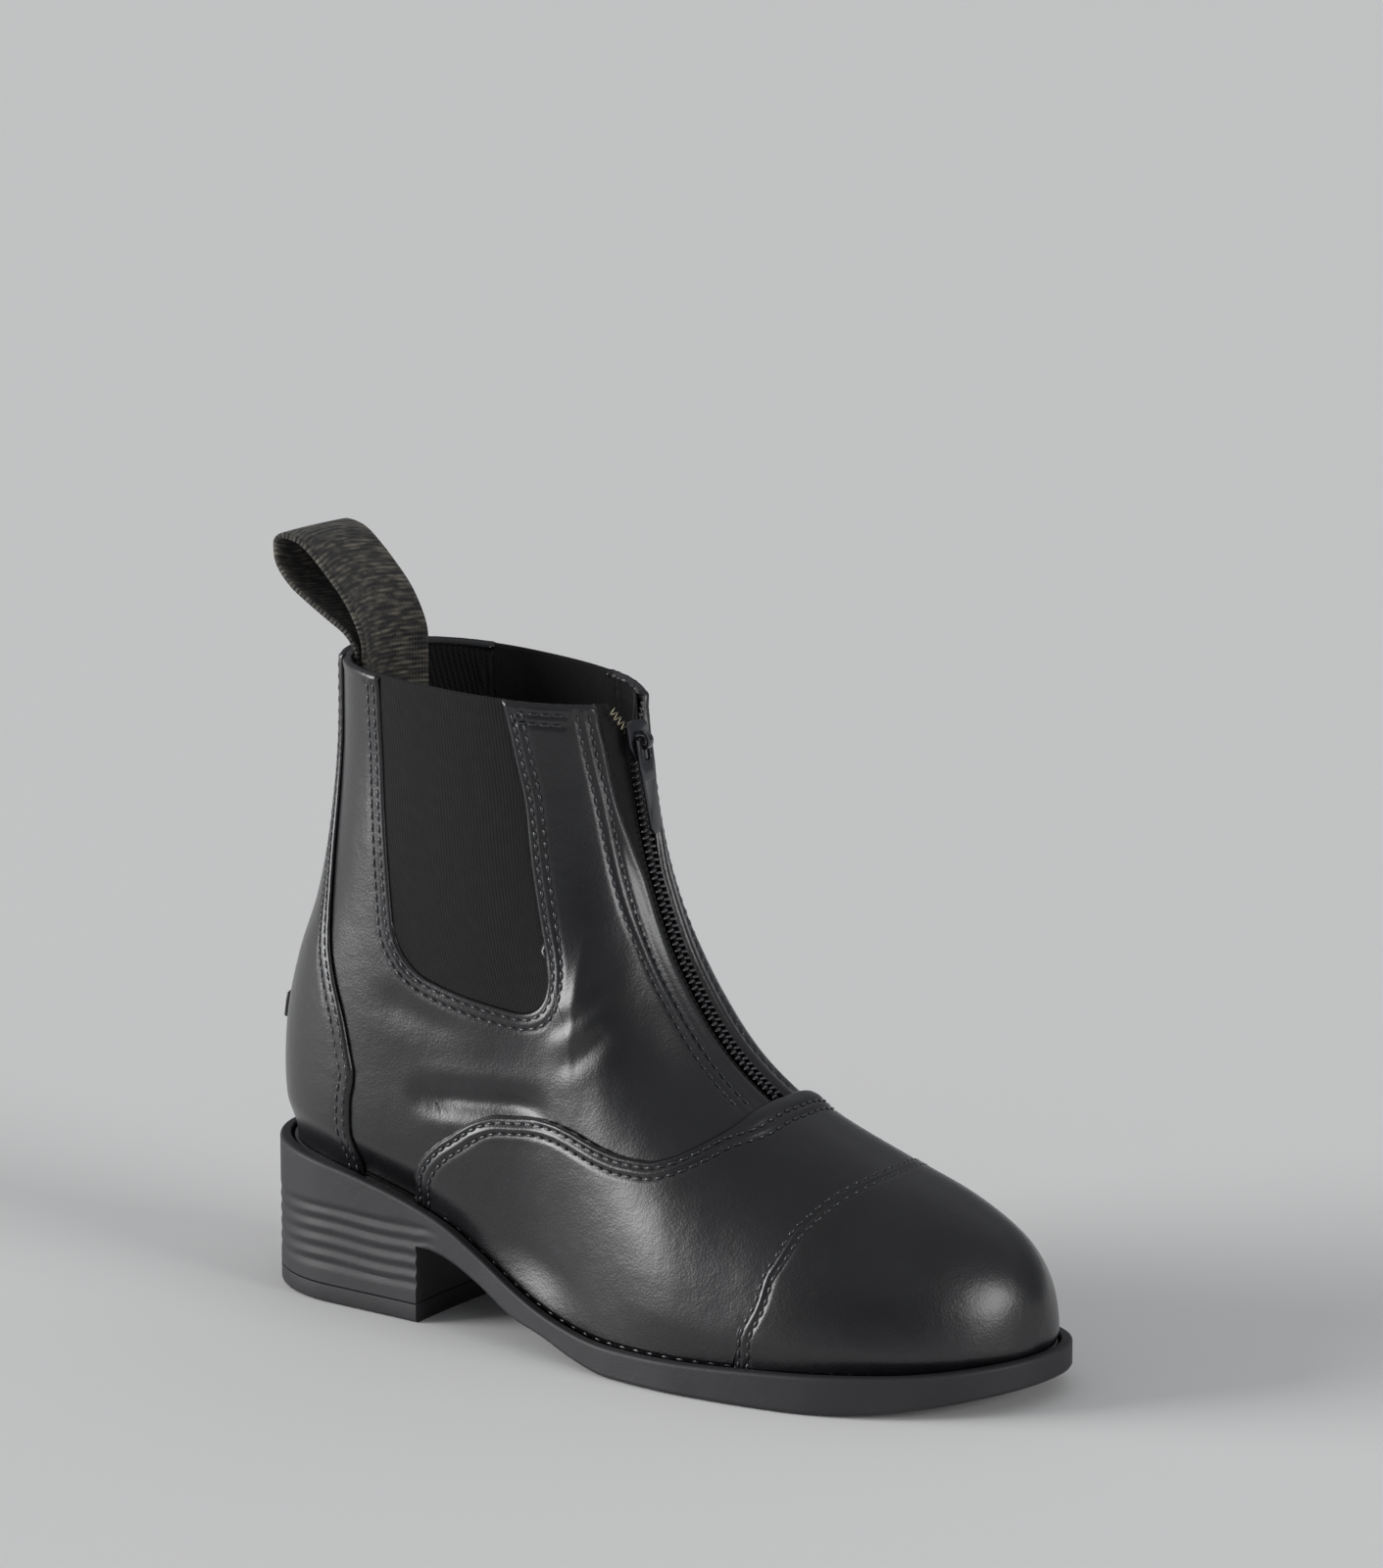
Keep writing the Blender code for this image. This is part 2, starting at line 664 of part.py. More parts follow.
def zip_place(s, t):
    """Place in the zip opening: s 0 at its lateral edge, 1 at its medial edge, t from its foot up."""
    v = lerp(ZIP_FOOT, HOLE_TOP, t)
    half = curve(ZIP_WIDTHS, v)
    return turn_at(v, lerp(-half, half, s)), v


def gore_patch(name, side, inset, outer, inner, top):
    """Panel or hole in the shape of the gore, its rounded foot drawn in by inset."""

    def where(s, t):
        """Place in the gore: s from its back to its front, t from its foot up."""
        s = (1 - math.cos(math.pi * s)) / 2
        back, front = GORE_BACK_CORNER, GORE_FRONT_CORNER
        foot = GORE_FOOT + inset
        foot += back[1] * (1 - rounded(s / back[0], 2.0))
        foot += front[1] * (1 - rounded((1 - s) / front[0], 2.0))
        v = lerp(foot, top, t)
        a = lerp(curve(GORE_BACK, v) + inset, curve(GORE_FRONT, v) - inset, s)
        return (a, v) if side < 0 else (2 - a, v)

    if side > 0:
        return patch(name, lambda s, t: where(1 - s, t), 10, 15, inner, outer, ELASTIC)
    return patch(name, where, 10, 15, inner, outer, ELASTIC)


def cap_place(s, t):
    """Place on the toe cap: s from its lateral to its medial corner, t from the sole up."""
    corner = CAP_EDGE[0][0] + SEAM_SHARE
    a = lerp(corner, 2 - corner, 0.5 - 0.5 * math.cos(math.pi * s))
    return a, lerp(OVERLAY_FOOT, curve(CAP_EDGE, min(a, 2 - a)) - SEAM_SHARE, t**ROW_POWER)


def vamp_place(s, t):
    """Place on the vamp: s from its lateral to its medial corner, t up from the cap or the sole."""
    a = VAMP_TURNS[round(s * (len(VAMP_TURNS) - 1))]
    u = min(a, 2 - a)
    low = curve(CAP_EDGE, u) + SEAM_SHARE if u > CAP_EDGE[0][0] else OVERLAY_FOOT
    return a, lerp(low, max(low + VAMP_LEAST, curve(VAMP_EDGE, u)), t**ROW_POWER)


def counter_place(s, t):
    """Place on the counter and backstrip: s from its medial to its lateral edge, t up its rows."""
    v = row_share(t * (UPPER_ROWS - 1))
    return curve(COUNTER_EDGE, v) * (2 * s - 1), v


def build_overlays():
    """Toe cap, winged vamp, and counter with backstrip."""

    patch("toe_cap", cap_place, 9, 25, SEAM_GAP, CAP_OVERLAY + SEAM_GAP, LEATHER)
    patch("vamp", vamp_place, 8, len(VAMP_TURNS), VAMP_GAP, OVERLAY + VAMP_GAP, LEATHER)
    patch("counter", counter_place, UPPER_ROWS, 13, SEAM_GAP, OVERLAY + SEAM_GAP, LEATHER)


def strip_place(near, far, low, high):
    """Place function of a strip along the zip, between two distances from the ridge."""

    def where(s, t):
        """Place on the strip: s across it, t from its foot up."""
        v = lerp(low, high, t)
        return turn_at(v, lerp(near, far, s)), v

    return where


def build_gores_and_zip():
    """Elastic gores in their holes, tapes behind the zip opening, and the zip's teeth in it."""
    for name, side in (("gore_lateral", -1), ("gore_medial", 1)):
        gore_patch(name, side, SEAM_SHARE, -0.0006, -0.0018, PANEL_TOP)
    clear, behind = GAP * 2 + TEETH_HALF, -WALL - GAP
    for name, near, far in (("tape_lateral", -TAPE_HALF, -clear), ("tape_medial", clear, TAPE_HALF)):
        where = strip_place(near, far, ZIP_FOOT, PANEL_TOP)
        patch(name, where, 16, 4, behind - TAPE_THICK, behind, TAPE)
    where = strip_place(-TEETH_HALF, TEETH_HALF, ZIP_FOOT + 0.010, SLIDER_AT + 0.035)
    patch("zip_chain", where, 16, 4, -0.0018, -0.0002, METAL)


def slider_frame():
    """Matrix columns of the slider: down the zip, across, outward, and its middle on the ridge."""
    down = surface(1.0, SLIDER_AT - TAB_REACH) - surface(1.0, SLIDER_AT)
    down.y = 0.0
    down.normalize()
    across = Vector((0.0, 1.0, 0.0))
    middle = surface(1.0, SLIDER_AT)
    middle.y = 0.0
    return down, across, down.cross(across), middle


def on_slider(t, y, n):
    """Point a distance down, across and outward from the slider's middle."""
    down, across, out, middle = SLIDER_FRAME
    return middle + down * t + across * y + out * n


def plate(name, half, low, high, material):
    """Solid plate on the slider from the (distance down, half width) rows of its half outline."""
    loop = [(t, -y) for t, y in half] + [(t, y) for t, y in half[::-1]]
    count = len(loop)
    points = [on_slider(t, y, n) for n in (low, high) for t, y in loop]
    faces = [tuple(range(count - 1, -1, -1)), tuple(range(count, 2 * count))]
    faces += [(i, (i + 1) % count, count + (i + 1) % count, count + i) for i in range(count)]
    return add_object(name, points, faces, material)


def build_slider_and_pull():
    """Zip slider with its crown, and the pull tab that hangs in it."""
    slider = plate("zip_slider", SLIDER_OUTLINE, 0.0002, 0.0016, METAL)
    points, steps = [], 12
    for y in (-CROWN_HALF, CROWN_HALF):
        for radius in (CROWN_INNER, CROWN_OUTER):
            ring_points = [(-radius, -CROWN_FOOT)]
            ring_points += [
                (-radius * math.cos(math.pi * i / steps), radius * math.sin(math.pi * i / steps))
                for i in range(steps + 1)
            ]
            ring_points.append((radius, -CROWN_FOOT))
            points += [on_slider(t, y, BAR_HEIGHT + n) for t, n in ring_points]
    count = steps + 3
    rows = (0, 1, 3, 2, 0)
    faces = []
    for a, b in zip(rows, rows[1:]):
        for i in range(count - 1):
            faces.append((a * count + i, b * count + i, b * count + i + 1, a * count + i + 1))
    faces += [(0, 2 * count, 3 * count, count)]
    last = count - 1
    faces += [(last, count + last, 3 * count + last, 2 * count + last)]
    cut(slider, add_object("crown", points, faces, METAL), "UNION")
    low, high = BAR_HEIGHT - TAB_HALF, BAR_HEIGHT + TAB_HALF
    tab = plate("zip_pull", TAB_OUTLINE, low, high, METAL)
    cut(tab, plate("eye", EYE_OUTLINE, low - TAB_HALF, high + TAB_HALF, METAL), "DIFFERENCE")


def build_pull_loop():
    """Loop of webbing, its ends inside the back of the collar."""
    collar_x = curve(BACK_X, 1.0)
    line = [(collar_x + x * LOOP_HEIGHT, BOOT_HEIGHT + z * LOOP_HEIGHT) for x, z in LOOP_LINE]
    rows, columns = len(line), 7
    points = []
    for side in (-1, 1):
        for k, (x, z) in enumerate(line):
            before, after = line[max(0, k - 1)], line[min(rows - 1, k + 1)]
            along = Vector((after[0] - before[0], 0.0, after[1] - before[1])).normalized()
            out = Vector((along.z, 0.0, -along.x)) * (WEBBING_THICK / 2 * side)
            fade = 1 - 0.85 * smooth((z + out.z - BOOT_HEIGHT) / (0.85 * LOOP_HEIGHT))
            for i in range(columns):
                y = lerp(-WEBBING_WIDTH / 2, WEBBING_WIDTH / 2, i / (columns - 1))
                bend = WEBBING_BEND * fade * (2 * y / WEBBING_WIDTH) ** 2
                points.append(Vector((x + bend, y, z)) + out)
    count = rows * columns
    faces = [face[::-1] for face in grid_faces(rows, columns, 0, False)]
    faces += grid_faces(rows, columns, count, False)
    faces += [face[::-1] for face in rim_faces(rows, columns, count)]
    add_object("pull_loop", points, faces, WEBBING)


def build_spur_rest():
    """Small ledge across the back of the counter."""
    inner = OVERLAY + 2 * SEAM_GAP

    def where(s, t):
        """Place on the ledge: s across the back, t from its foot up."""
        return lerp(-SPUR_REST_TURN, SPUR_REST_TURN, s), lerp(*SPUR_REST_SHARES, t)

    patch("spur_rest", where, 4, 9, inner, inner + SPUR_REST_THICK, LEATHER)


SLIDER_FRAME = slider_frame()
build_sole()
build_upper()
build_overlays()
build_gores_and_zip()
build_slider_and_pull()
build_pull_loop()
build_spur_rest()
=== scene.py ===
"""Looks of the right paddock boot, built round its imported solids, in metres.

The toe points along +X and the lateral (outer) side is -Y. Shape functions take x from the back
of the sole, and `placed` moves their points to the boot's origin under the heel.
A place on the upper is a turn (0 back centre, 1 front centre, past 1 on the medial side) and a
share (0 at the sole, 1 at the collar).
"""

import json
import logging
import math
from collections.abc import Callable, Sequence
from dataclasses import dataclass, field
from enum import Enum

import bmesh
import bpy
import numpy as np
from mathutils import Matrix, Vector
from mathutils.kdtree import KDTree

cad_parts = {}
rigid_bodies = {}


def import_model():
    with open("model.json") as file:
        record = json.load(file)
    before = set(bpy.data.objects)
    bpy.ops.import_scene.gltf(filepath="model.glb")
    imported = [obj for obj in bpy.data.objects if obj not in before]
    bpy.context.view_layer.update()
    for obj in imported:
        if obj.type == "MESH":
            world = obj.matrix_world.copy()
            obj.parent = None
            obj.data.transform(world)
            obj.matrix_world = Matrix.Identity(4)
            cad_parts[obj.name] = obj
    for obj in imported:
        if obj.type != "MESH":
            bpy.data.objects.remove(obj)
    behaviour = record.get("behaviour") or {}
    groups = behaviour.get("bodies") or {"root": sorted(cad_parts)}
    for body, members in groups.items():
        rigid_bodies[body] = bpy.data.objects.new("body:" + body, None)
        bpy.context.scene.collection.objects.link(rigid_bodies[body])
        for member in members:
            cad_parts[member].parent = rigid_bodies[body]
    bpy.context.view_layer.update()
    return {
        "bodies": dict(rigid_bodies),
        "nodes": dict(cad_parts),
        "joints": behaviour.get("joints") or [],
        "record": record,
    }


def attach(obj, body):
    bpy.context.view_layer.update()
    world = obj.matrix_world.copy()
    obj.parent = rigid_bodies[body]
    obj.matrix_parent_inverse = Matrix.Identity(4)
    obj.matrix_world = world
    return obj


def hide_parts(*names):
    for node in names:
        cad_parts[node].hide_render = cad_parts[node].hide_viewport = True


LOG = logging.getLogger("paddock_boot")
Array = np.ndarray

# Driving sizes, the same as those of the solids.
SOLE_LENGTH = 0.2325
BALL_WIDTH = 0.0842
HEEL_LENGTH = 0.0605
HEEL_HEIGHT = 0.0405
INSTEP_HEIGHT = 0.0782
BOOT_HEIGHT = 0.1710
COLLAR_WIDTH = 0.0550
LOOP_HEIGHT = 0.0283
TOP_LIFT = 0.0050
WALL = 0.0022
RIM_WIDTH = 0.0026
WELT_WIDTH = 0.0054
WELT_DROP, WELT_FLOOR = 0.0013, 0.0032
RIB_LOW, RIB_HIGH, RIB_FADE = 0.0085, 0.0255, 0.0020
RIB_PITCH, RIB_DEPTH = 0.0038, 0.0005
WEBBING_WIDTH, WEBBING_THICK, WEBBING_BEND = 0.027, 0.0014, 0.0050

# Half widths of the sole, as shares of the ball's width: share of the length, lateral, medial.
SOLE_WIDTHS = (
    (0.00, 0.3207, 0.3207),
    (0.12, 0.3385, 0.3385),
    (0.26, 0.3563, 0.3444),
    (0.36, 0.3777, 0.3385),
    (0.46, 0.4335, 0.3622),
    (0.56, 0.5048, 0.4216),
    (0.66, 0.5344, 0.4656),
    (0.78, 0.5166, 0.4584),
    (0.90, 0.4572, 0.4216),
    (1.00, 0.3919, 0.3800),
)
# Heights of the sole, as shares of the heel's: share of the length, top of the rim, underside.
SOLE_HEIGHTS = (
    (0.00, 1.0000, 0.5309),
    (0.10, 0.9506, 0.5309),
    (0.20, 0.8519, 0.5309),
    (0.26, 0.7654, 0.5111),
    (0.30, 0.6864, 0.4691),
    (0.35, 0.5383, 0.3457),
    (0.40, 0.3901, 0.1975),
    (0.45, 0.2840, 0.1284),
    (0.50, 0.2247, 0.0494),
    (0.56, 0.2000, 0.0000),
    (0.66, 0.2099, 0.0000),
    (0.76, 0.2395, 0.0000),
    (0.84, 0.2593, 0.0123),
    (0.92, 0.2765, 0.0593),
    (1.00, 0.3259, 0.1432),
)
# Back line of the upper: share v, x as a share of the length, height (0 at the sole, 1 at the collar).
BACK = (
    (0.00, 0.0237, 0.0000),
    (0.06, 0.0181, 0.0653),
    (0.14, 0.0151, 0.1489),
    (0.24, 0.0194, 0.2553),
    (0.36, 0.0366, 0.3769),
    (0.50, 0.0645, 0.5061),
    (0.65, 0.0839, 0.6581),
    (0.82, 0.0946, 0.8252),
    (1.00, 0.0968, 1.0000),
)
# Front line: share v, x as a share of the length, height (0 at the sole, 1 at the instep, 2 at the collar).
FRONT = (
    (0.00, 0.9763, 0.0000),
    (0.04, 0.9781, 0.1448),
    (0.09, 0.9677, 0.2775),
    (0.15, 0.9355, 0.4057),
    (0.22, 0.8688, 0.5294),
    (0.30, 0.7742, 0.6531),
    (0.39, 0.6753, 0.8084),
    (0.48, 0.6022, 1.0000),
    (0.58, 0.5441, 1.1972),
    (0.70, 0.5024, 1.4397),
    (0.85, 0.4774, 1.6983),
    (1.00, 0.4645, 1.9407),
)
# Widest half widths of the foot, as shares of the ball's width: share of the length, lateral, medial.
FOOT_WIDTHS = (
    (0.00, 0.3563, 0.3563),
    (0.30, 0.3444, 0.3444),
    (0.42, 0.3563, 0.3444),
    (0.52, 0.4157, 0.3741),
    (0.62, 0.4751, 0.4157),
    (0.72, 0.4810, 0.4276),
    (0.82, 0.4572, 0.4157),
    (0.92, 0.4157, 0.3800),
    (1.00, 0.3563, 0.3325),
)
# Half widths of heel and shaft, as shares of the collar's width: share of the boot's height, half width.
# The leather here is fuller low down and slimmer higher up than the solid, to tip its sides to the light.
SHAFT_WIDTHS = (
    (0.205, 0.5130),
    (0.292, 0.5500),
    (0.409, 0.5540),
    (0.556, 0.5430),
    (0.702, 0.5250),
    (0.877, 0.5000),
    (1.082, 0.5000),
)
# Edges of the panels, mirrored to the medial side: turn, share.
CAP_EDGE = (
    (0.648, 0.000),
    (0.652, 0.040),
    (0.667, 0.080),
    (0.681, 0.120),
    (0.700, 0.150),
    (0.728, 0.185),
    (0.771, 0.220),
    (0.827, 0.252),
    (0.884, 0.271),
    (0.931, 0.280),
    (1.000, 0.285),
)
VAMP_EDGE = (
    (0.322, 0.000),
    (0.332, 0.050),
    (0.347, 0.095),
    (0.370, 0.145),
    (0.397, 0.192),
    (0.435, 0.250),
    (0.468, 0.284),
    (0.496, 0.299),
    (0.520, 0.309),
    (0.548, 0.313),
    (0.572, 0.309),
    (0.586, 0.300),
    (0.605, 0.290),
    (0.624, 0.285),
    (0.648, 0.285),
    (0.676, 0.295),
    (0.728, 0.322),
    (0.780, 0.348),
    (0.832, 0.370),
    (0.893, 0.391),
    (0.950, 0.402),
    (1.000, 0.404),
)
# Edge of the counter and backstrip: share, turn.
COUNTER_EDGE = (
    (0.000, 0.256),
    (0.055, 0.260),
    (0.140, 0.269),
    (0.220, 0.284),
    (0.275, 0.284),
    (0.330, 0.279),
    (0.385, 0.265),
    (0.455, 0.241),
    (0.560, 0.213),
    (0.700, 0.180),
    (0.855, 0.161),
    (1.000, 0.155),
)
# Sides of the gore: share, turn of the back side, turn of the front side.
GORE_SIDES = (
    (0.50, 0.386, 0.664),
    (0.60, 0.382, 0.668),
    (0.70, 0.373, 0.677),
    (0.80, 0.364, 0.682),
    (0.90, 0.360, 0.670),
    (1.00, 0.358, 0.652),
)
# Half width of the zip opening: share, half width.
ZIP_WIDTHS = (
    (0.42, 0.0036),
    (0.70, 0.0036),
    (0.76, 0.0052),
    (0.83, 0.0076),
    (0.93, 0.0090),
    (1.00, 0.0106),
)
ZIP_FOOT, SLIDER_AT = 0.422, 0.930
GORE_FOOT = 0.495
GORE_BACK_CORNER, GORE_FRONT_CORNER = (0.19, 0.060), (0.34, 0.115)
# Side view of the pull loop from the collar's back, as shares of the loop's height, inner end first.
LOOP_LINE = (
    (0.194, -0.742),
    (0.198, -0.318),
    (0.198, 0.025),
    (0.152, 0.283),
    (0.078, 0.477),
    (-0.039, 0.647),
    (-0.205, 0.827),
    (-0.406, 0.968),
    (-0.583, 1.000),
    (-0.668, 0.926),
    (-0.654, 0.760),
    (-0.530, 0.558),
    (-0.353, 0.417),
    (-0.159, 0.283),
    (0.011, 0.166),
    (0.117, 0.007),
    (0.134, -0.318),
    (0.131, -0.742),
)


def column(table: Sequence[Sequence[float]], index: int, size: float = 1.0) -> list[tuple[float, float]]:
    """Rows of the first column and a chosen one, the chosen one times a size."""
    return [(row[0], row[index] * size) for row in table]


def lerp(a: float | Array, b: float | Array, t: float | Array) -> float | Array:
    """Value a share t of the way from a to b."""
    return a + (b - a) * t


def smooth(t: float | Array) -> float | Array:
    """Soft step from 0 at t 0 to 1 at t 1."""
    t = np.clip(t, 0.0, 1.0)
    return t * t * (3 - 2 * t)


def rounded(t: float | Array, power: float) -> float | Array:
    """Superellipse end: 0 at t 0, 1 from t 1 on."""
    return (1 - (1 - np.clip(t, 0.0, 1.0)) ** power) ** (1 / power)


def hump(distance: Array, middle: float, width: float) -> Array:
    """Bell of height 1 about a middle distance."""
    return np.exp(-(((distance - middle) / width) ** 2))


def placed(points: Array) -> Array:
    """Shape coordinates moved so that the heel's ground face is centred on the origin."""
    return points - np.array([HEEL_LENGTH / 2, 0.0, 0.0])


class Curve:
    """Smooth curve through rows of x and value, straight beyond both ends."""

    def __init__(self, rows: Sequence[tuple[float, float]]) -> None:
        """Works out the slopes, none at a peak, so that the curve never overshoots.

        Args:
            rows: Pairs of x and value, x rising.
        """
        self.x = np.array([row[0] for row in rows])
        self.y = np.array([row[1] for row in rows])
        step = np.diff(self.x)
        chord = np.diff(self.y) / step
        before, after = step[:-1], step[1:]
        left, right = chord[:-1], chord[1:]
        inner = np.where(left * right <= 0, 0.0, (left * after + right * before) / (before + after))
        self.slope = np.concatenate([chord[:1], inner, chord[-1:]])

    def __call__(self, x: float | Array) -> Array:
        """Values of the curve at x."""
        x = np.asarray(x, float)
        i = np.clip(np.searchsorted(self.x, x, side="right") - 1, 0, len(self.x) - 2)
        span = self.x[i + 1] - self.x[i]
        t = np.clip((x - self.x[i]) / span, 0.0, 1.0)
        m0, m1 = self.slope[i] * span, self.slope[i + 1] * span
        inside = (
            (2 * t**3 - 3 * t * t + 1) * self.y[i]
            + (t**3 - 2 * t * t + t) * m0
            + (3 * t * t - 2 * t**3) * self.y[i + 1]
            + (t**3 - t * t) * m1
        )
        below = np.minimum(0.0, x - self.x[0]) * self.slope[0]
        above = np.maximum(0.0, x - self.x[-1]) * self.slope[-1]
        return inside + below + above


class Profile:
    """Back or front line of the upper, with its look-ups."""

    def __init__(self, x: Curve, heights: Sequence[tuple[float, float]], low: float | None = None) -> None:
        """Prepares the look-ups.

        Args:
            x: Curve of x by share.
            heights: Share and height.
            low: Share from which x only falls, for the look-up by x.
        """
        self.x, self.z = x, Curve(heights)
        self.shares = np.linspace(0.0, 1.0, 401)
        self.heights = self.z(self.shares)
        if low is not None:
            self.length_shares = np.linspace(1.0, low, 401)
            self.lengths = self.x(self.length_shares)

    def x_at(self, z: Array) -> Array:
        """x of the profile at a height."""
        return self.x(np.interp(z, self.heights, self.shares))

    def z_at(self, x: Array) -> Array:
        """Height of the profile at x."""
        return self.z(np.interp(x, self.lengths, self.length_shares))


@dataclass
class Crease:
    """Soft trough in the leather, along places on the upper."""

    places: Sequence[tuple[float, float]]
    depth: float
    width: float
    line: Array = field(default=None, repr=False)


@dataclass
class Last:
    """Form of the upper with its creases: near its solids, but its sides tuck in lower down."""

    swing_by: float = 0.0070
    swing_from: float = 0.45
    heel_round: float = 0.030
    heel_power: float = 2.05
    toe_round: float = 0.050
    toe_power: float = 2.25
    feather_inset: float = 0.0055
    seat_drop: float = 0.0007
    tuck: float = 0.19
    heel_tuck: float = 0.013
    top_power: float = 2.3
    top_root: float = 2.05
    shaft_power: float = 2.3
    shaft_root_back: float = 2.1
    shaft_root_front: float = 2.05
    shaft_middle: float = 0.45
    shaft_reach: float = 0.110
    foot_from: float = 0.3226
    foot_blend: float = 0.2151
    ankle_from: float = 0.4971
    ankle_blend: float = 0.2047
    relax: float = 2.2
    creases: list[Crease] = field(default_factory=list)

    def __post_init__(self) -> None:
        """Makes the curves of the tables."""
        self.sole_top = Curve(column(SOLE_HEIGHTS, 1, HEEL_HEIGHT))
        self.sole_under = Curve(column(SOLE_HEIGHTS, 2, HEEL_HEIGHT))
        self.sole_sides = [Curve(column(SOLE_WIDTHS, k, BALL_WIDTH)) for k in (1, 2)]
        self.foot_sides = [Curve(column(FOOT_WIDTHS, k, BALL_WIDTH)) for k in (1, 2)]
        self.shaft = Curve([(z * BOOT_HEIGHT, half * COLLAR_WIDTH) for z, half in SHAFT_WIDTHS])
        back_x, front_x = Curve(column(BACK, 1, SOLE_LENGTH)), Curve(column(FRONT, 1, SOLE_LENGTH))
        self.back_foot, self.front_foot = float(back_x(0.0)), float(front_x(0.0))
        heel, toe = float(self.seat(self.back_foot)), float(self.seat(self.front_foot))
        steps = (toe, INSTEP_HEIGHT, BOOT_HEIGHT)
        self.back = Profile(back_x, [(v, lerp(heel, BOOT_HEIGHT, share)) for v, _, share in BACK])
        heights = [(v, float(np.interp(step, (0, 1, 2), steps))) for v, _, step in FRONT]
        self.front = Profile(front_x, heights, 0.04)
        self.toe_x = FRONT[1][1] * SOLE_LENGTH

    def swing(self, x: Array) -> Array:
        """Distance that the boot's centre line turns to the medial side at x."""
        t = np.maximum(0.0, (x / SOLE_LENGTH - self.swing_from) / (1 - self.swing_from))
        return self.swing_by * t**1.6

    def rim_top(self, x: Array) -> Array:
        """Height of the rim's top at x."""
        return self.sole_top(x / SOLE_LENGTH)

    def seat(self, x: Array) -> Array:
        """Height of the upper's lower edge at x."""
        return self.rim_top(x) - self.seat_drop

    def sole_half(self, x: Array, side: Array | float, inset: Array | float) -> Array:
        """Half width of the sole's outline at x, drawn in by inset."""
        lateral, medial = (sides(x / SOLE_LENGTH) for sides in self.sole_sides)
        half = np.where(np.asarray(side) < 0, lateral, medial) - inset
        heel = rounded((x - inset) / self.heel_round, self.heel_power)
        return half * heel * rounded((SOLE_LENGTH - inset - x) / self.toe_round, self.toe_power)

    def row_height(self, share: Array, along: Array) -> Array:
        """Height of a row: a chord from back to front that sags to the sole's line at share 0."""
        chord = lerp(self.back.z(share), self.front.z(share), along)
        back, front = self.back_foot, self.front_foot
        sag = self.seat(lerp(back, front, along)) - lerp(self.seat(back), self.seat(front), along)
        return chord + np.maximum(0.0, 1 - share) ** self.relax * sag

    def upper_half(self, x: Array, z: Array, side: Array) -> Array:
        """Half width of the upper at x and z: foot sections ahead, level slices round heel and shaft."""
        low, top = self.seat(x), self.front.z_at(x)
        rise = np.clip((z - low) / np.maximum(1e-6, top - low), 0.0, 1.0)
        lateral, medial = (sides(x / SOLE_LENGTH) for sides in self.foot_sides)
        wide = np.where(side < 0, lateral, medial)
        wide = wide * rounded((self.toe_x - x) / self.toe_round, self.toe_power)
        feather = self.sole_half(x, side, self.feather_inset)
        foot = lerp(feather, wide, smooth(rise / self.tuck))
        foot = foot * (1 - rise**self.top_power) ** (1 / self.top_root)
        back, front = self.back.x_at(z), self.front.x_at(z)
        middle = lerp(back, np.minimum(front, self.shaft_reach), self.shaft_middle)
        behind = x < middle
        away = np.where(behind, (middle - x) / (middle - back), (x - middle) / (front - middle))
        root = np.where(behind, self.shaft_root_back, self.shaft_root_front)
        shaft = self.shaft(z) * (1 - np.clip(away, 0.0, 1.0) ** self.shaft_power) ** (1 / root)
        shaft = lerp(feather, shaft, smooth((z - low) / self.heel_tuck))
        ahead = smooth((x / SOLE_LENGTH - self.foot_from) / self.foot_blend)
        blend = ahead * (1 - smooth((z / BOOT_HEIGHT - self.ankle_from) / self.ankle_blend))
        return lerp(shaft, foot, blend)

    def surface(self, turn: Array, share: Array) -> Array:
        """Points of the upper's outer face, in shape coordinates."""
        turn = np.mod(turn, 2.0)
        side = np.where(turn <= 1, -1.0, 1.0)
        along = (1 - np.cos(np.pi * np.where(turn <= 1, turn, 2 - turn))) / 2
        x = lerp(self.back.x(share), self.front.x(share), along)
        z = self.row_height(share, along)
        y = self.swing(x) + side * self.upper_half(x, z, side)
        return np.stack(np.broadcast_arrays(x, y, z), axis=-1)

    def normal(self, turn: Array, share: Array) -> Array:
        """Outward normals, turned level at the bottom edge."""
        around = self.surface(turn + 0.012, share) - self.surface(turn - 0.012, share)
        up = self.surface(turn, share + 0.01) - self.surface(turn, np.maximum(0.0, share - 0.01))
        out = np.cross(around, up)
        out /= np.linalg.norm(out, axis=-1, keepdims=True)
        out[..., 2] *= smooth(share / 0.08)
        return out / np.linalg.norm(out, axis=-1, keepdims=True)

    def crease_depth(self, points: Array) -> Array:
        """Distance that the creases pull the leather in at points of the outer face."""
        total = np.zeros(points.shape[:-1])
        for crease in self.creases:
            if crease.line is None:
                crease.line = self.crease_line(crease)
            flat = points.reshape(-1, 3)
            gap = np.linalg.norm(flat[:, None, :] - crease.line[None, :, :3], axis=-1)
            nearest = gap.argmin(axis=1)
            fade = crease.line[nearest, 3]
            reach = gap[np.arange(len(flat)), nearest] / crease.width
            trough = np.exp(-(reach**2)) - 0.20 * np.exp(-(((reach - 2.0) / 0.9) ** 2))
            total += (crease.depth * fade * trough).reshape(total.shape)
        return total

    def crease_line(self, crease: Crease) -> Array:
        """Points along a crease with the share of its depth, none at its ends."""
        turns, shares = np.array(crease.places).T
        knots = np.linspace(0.0, 1.0, len(turns))
        steps = np.linspace(0.0, 1.0, 40)
        turn = Curve(list(zip(knots, turns)))(steps)
        share = Curve(list(zip(knots, shares)))(steps)
        fade = smooth(steps / 0.35) * smooth((1 - steps) / 0.35)
        return np.concatenate([self.surface(turn, share), fade[:, None]], axis=1)

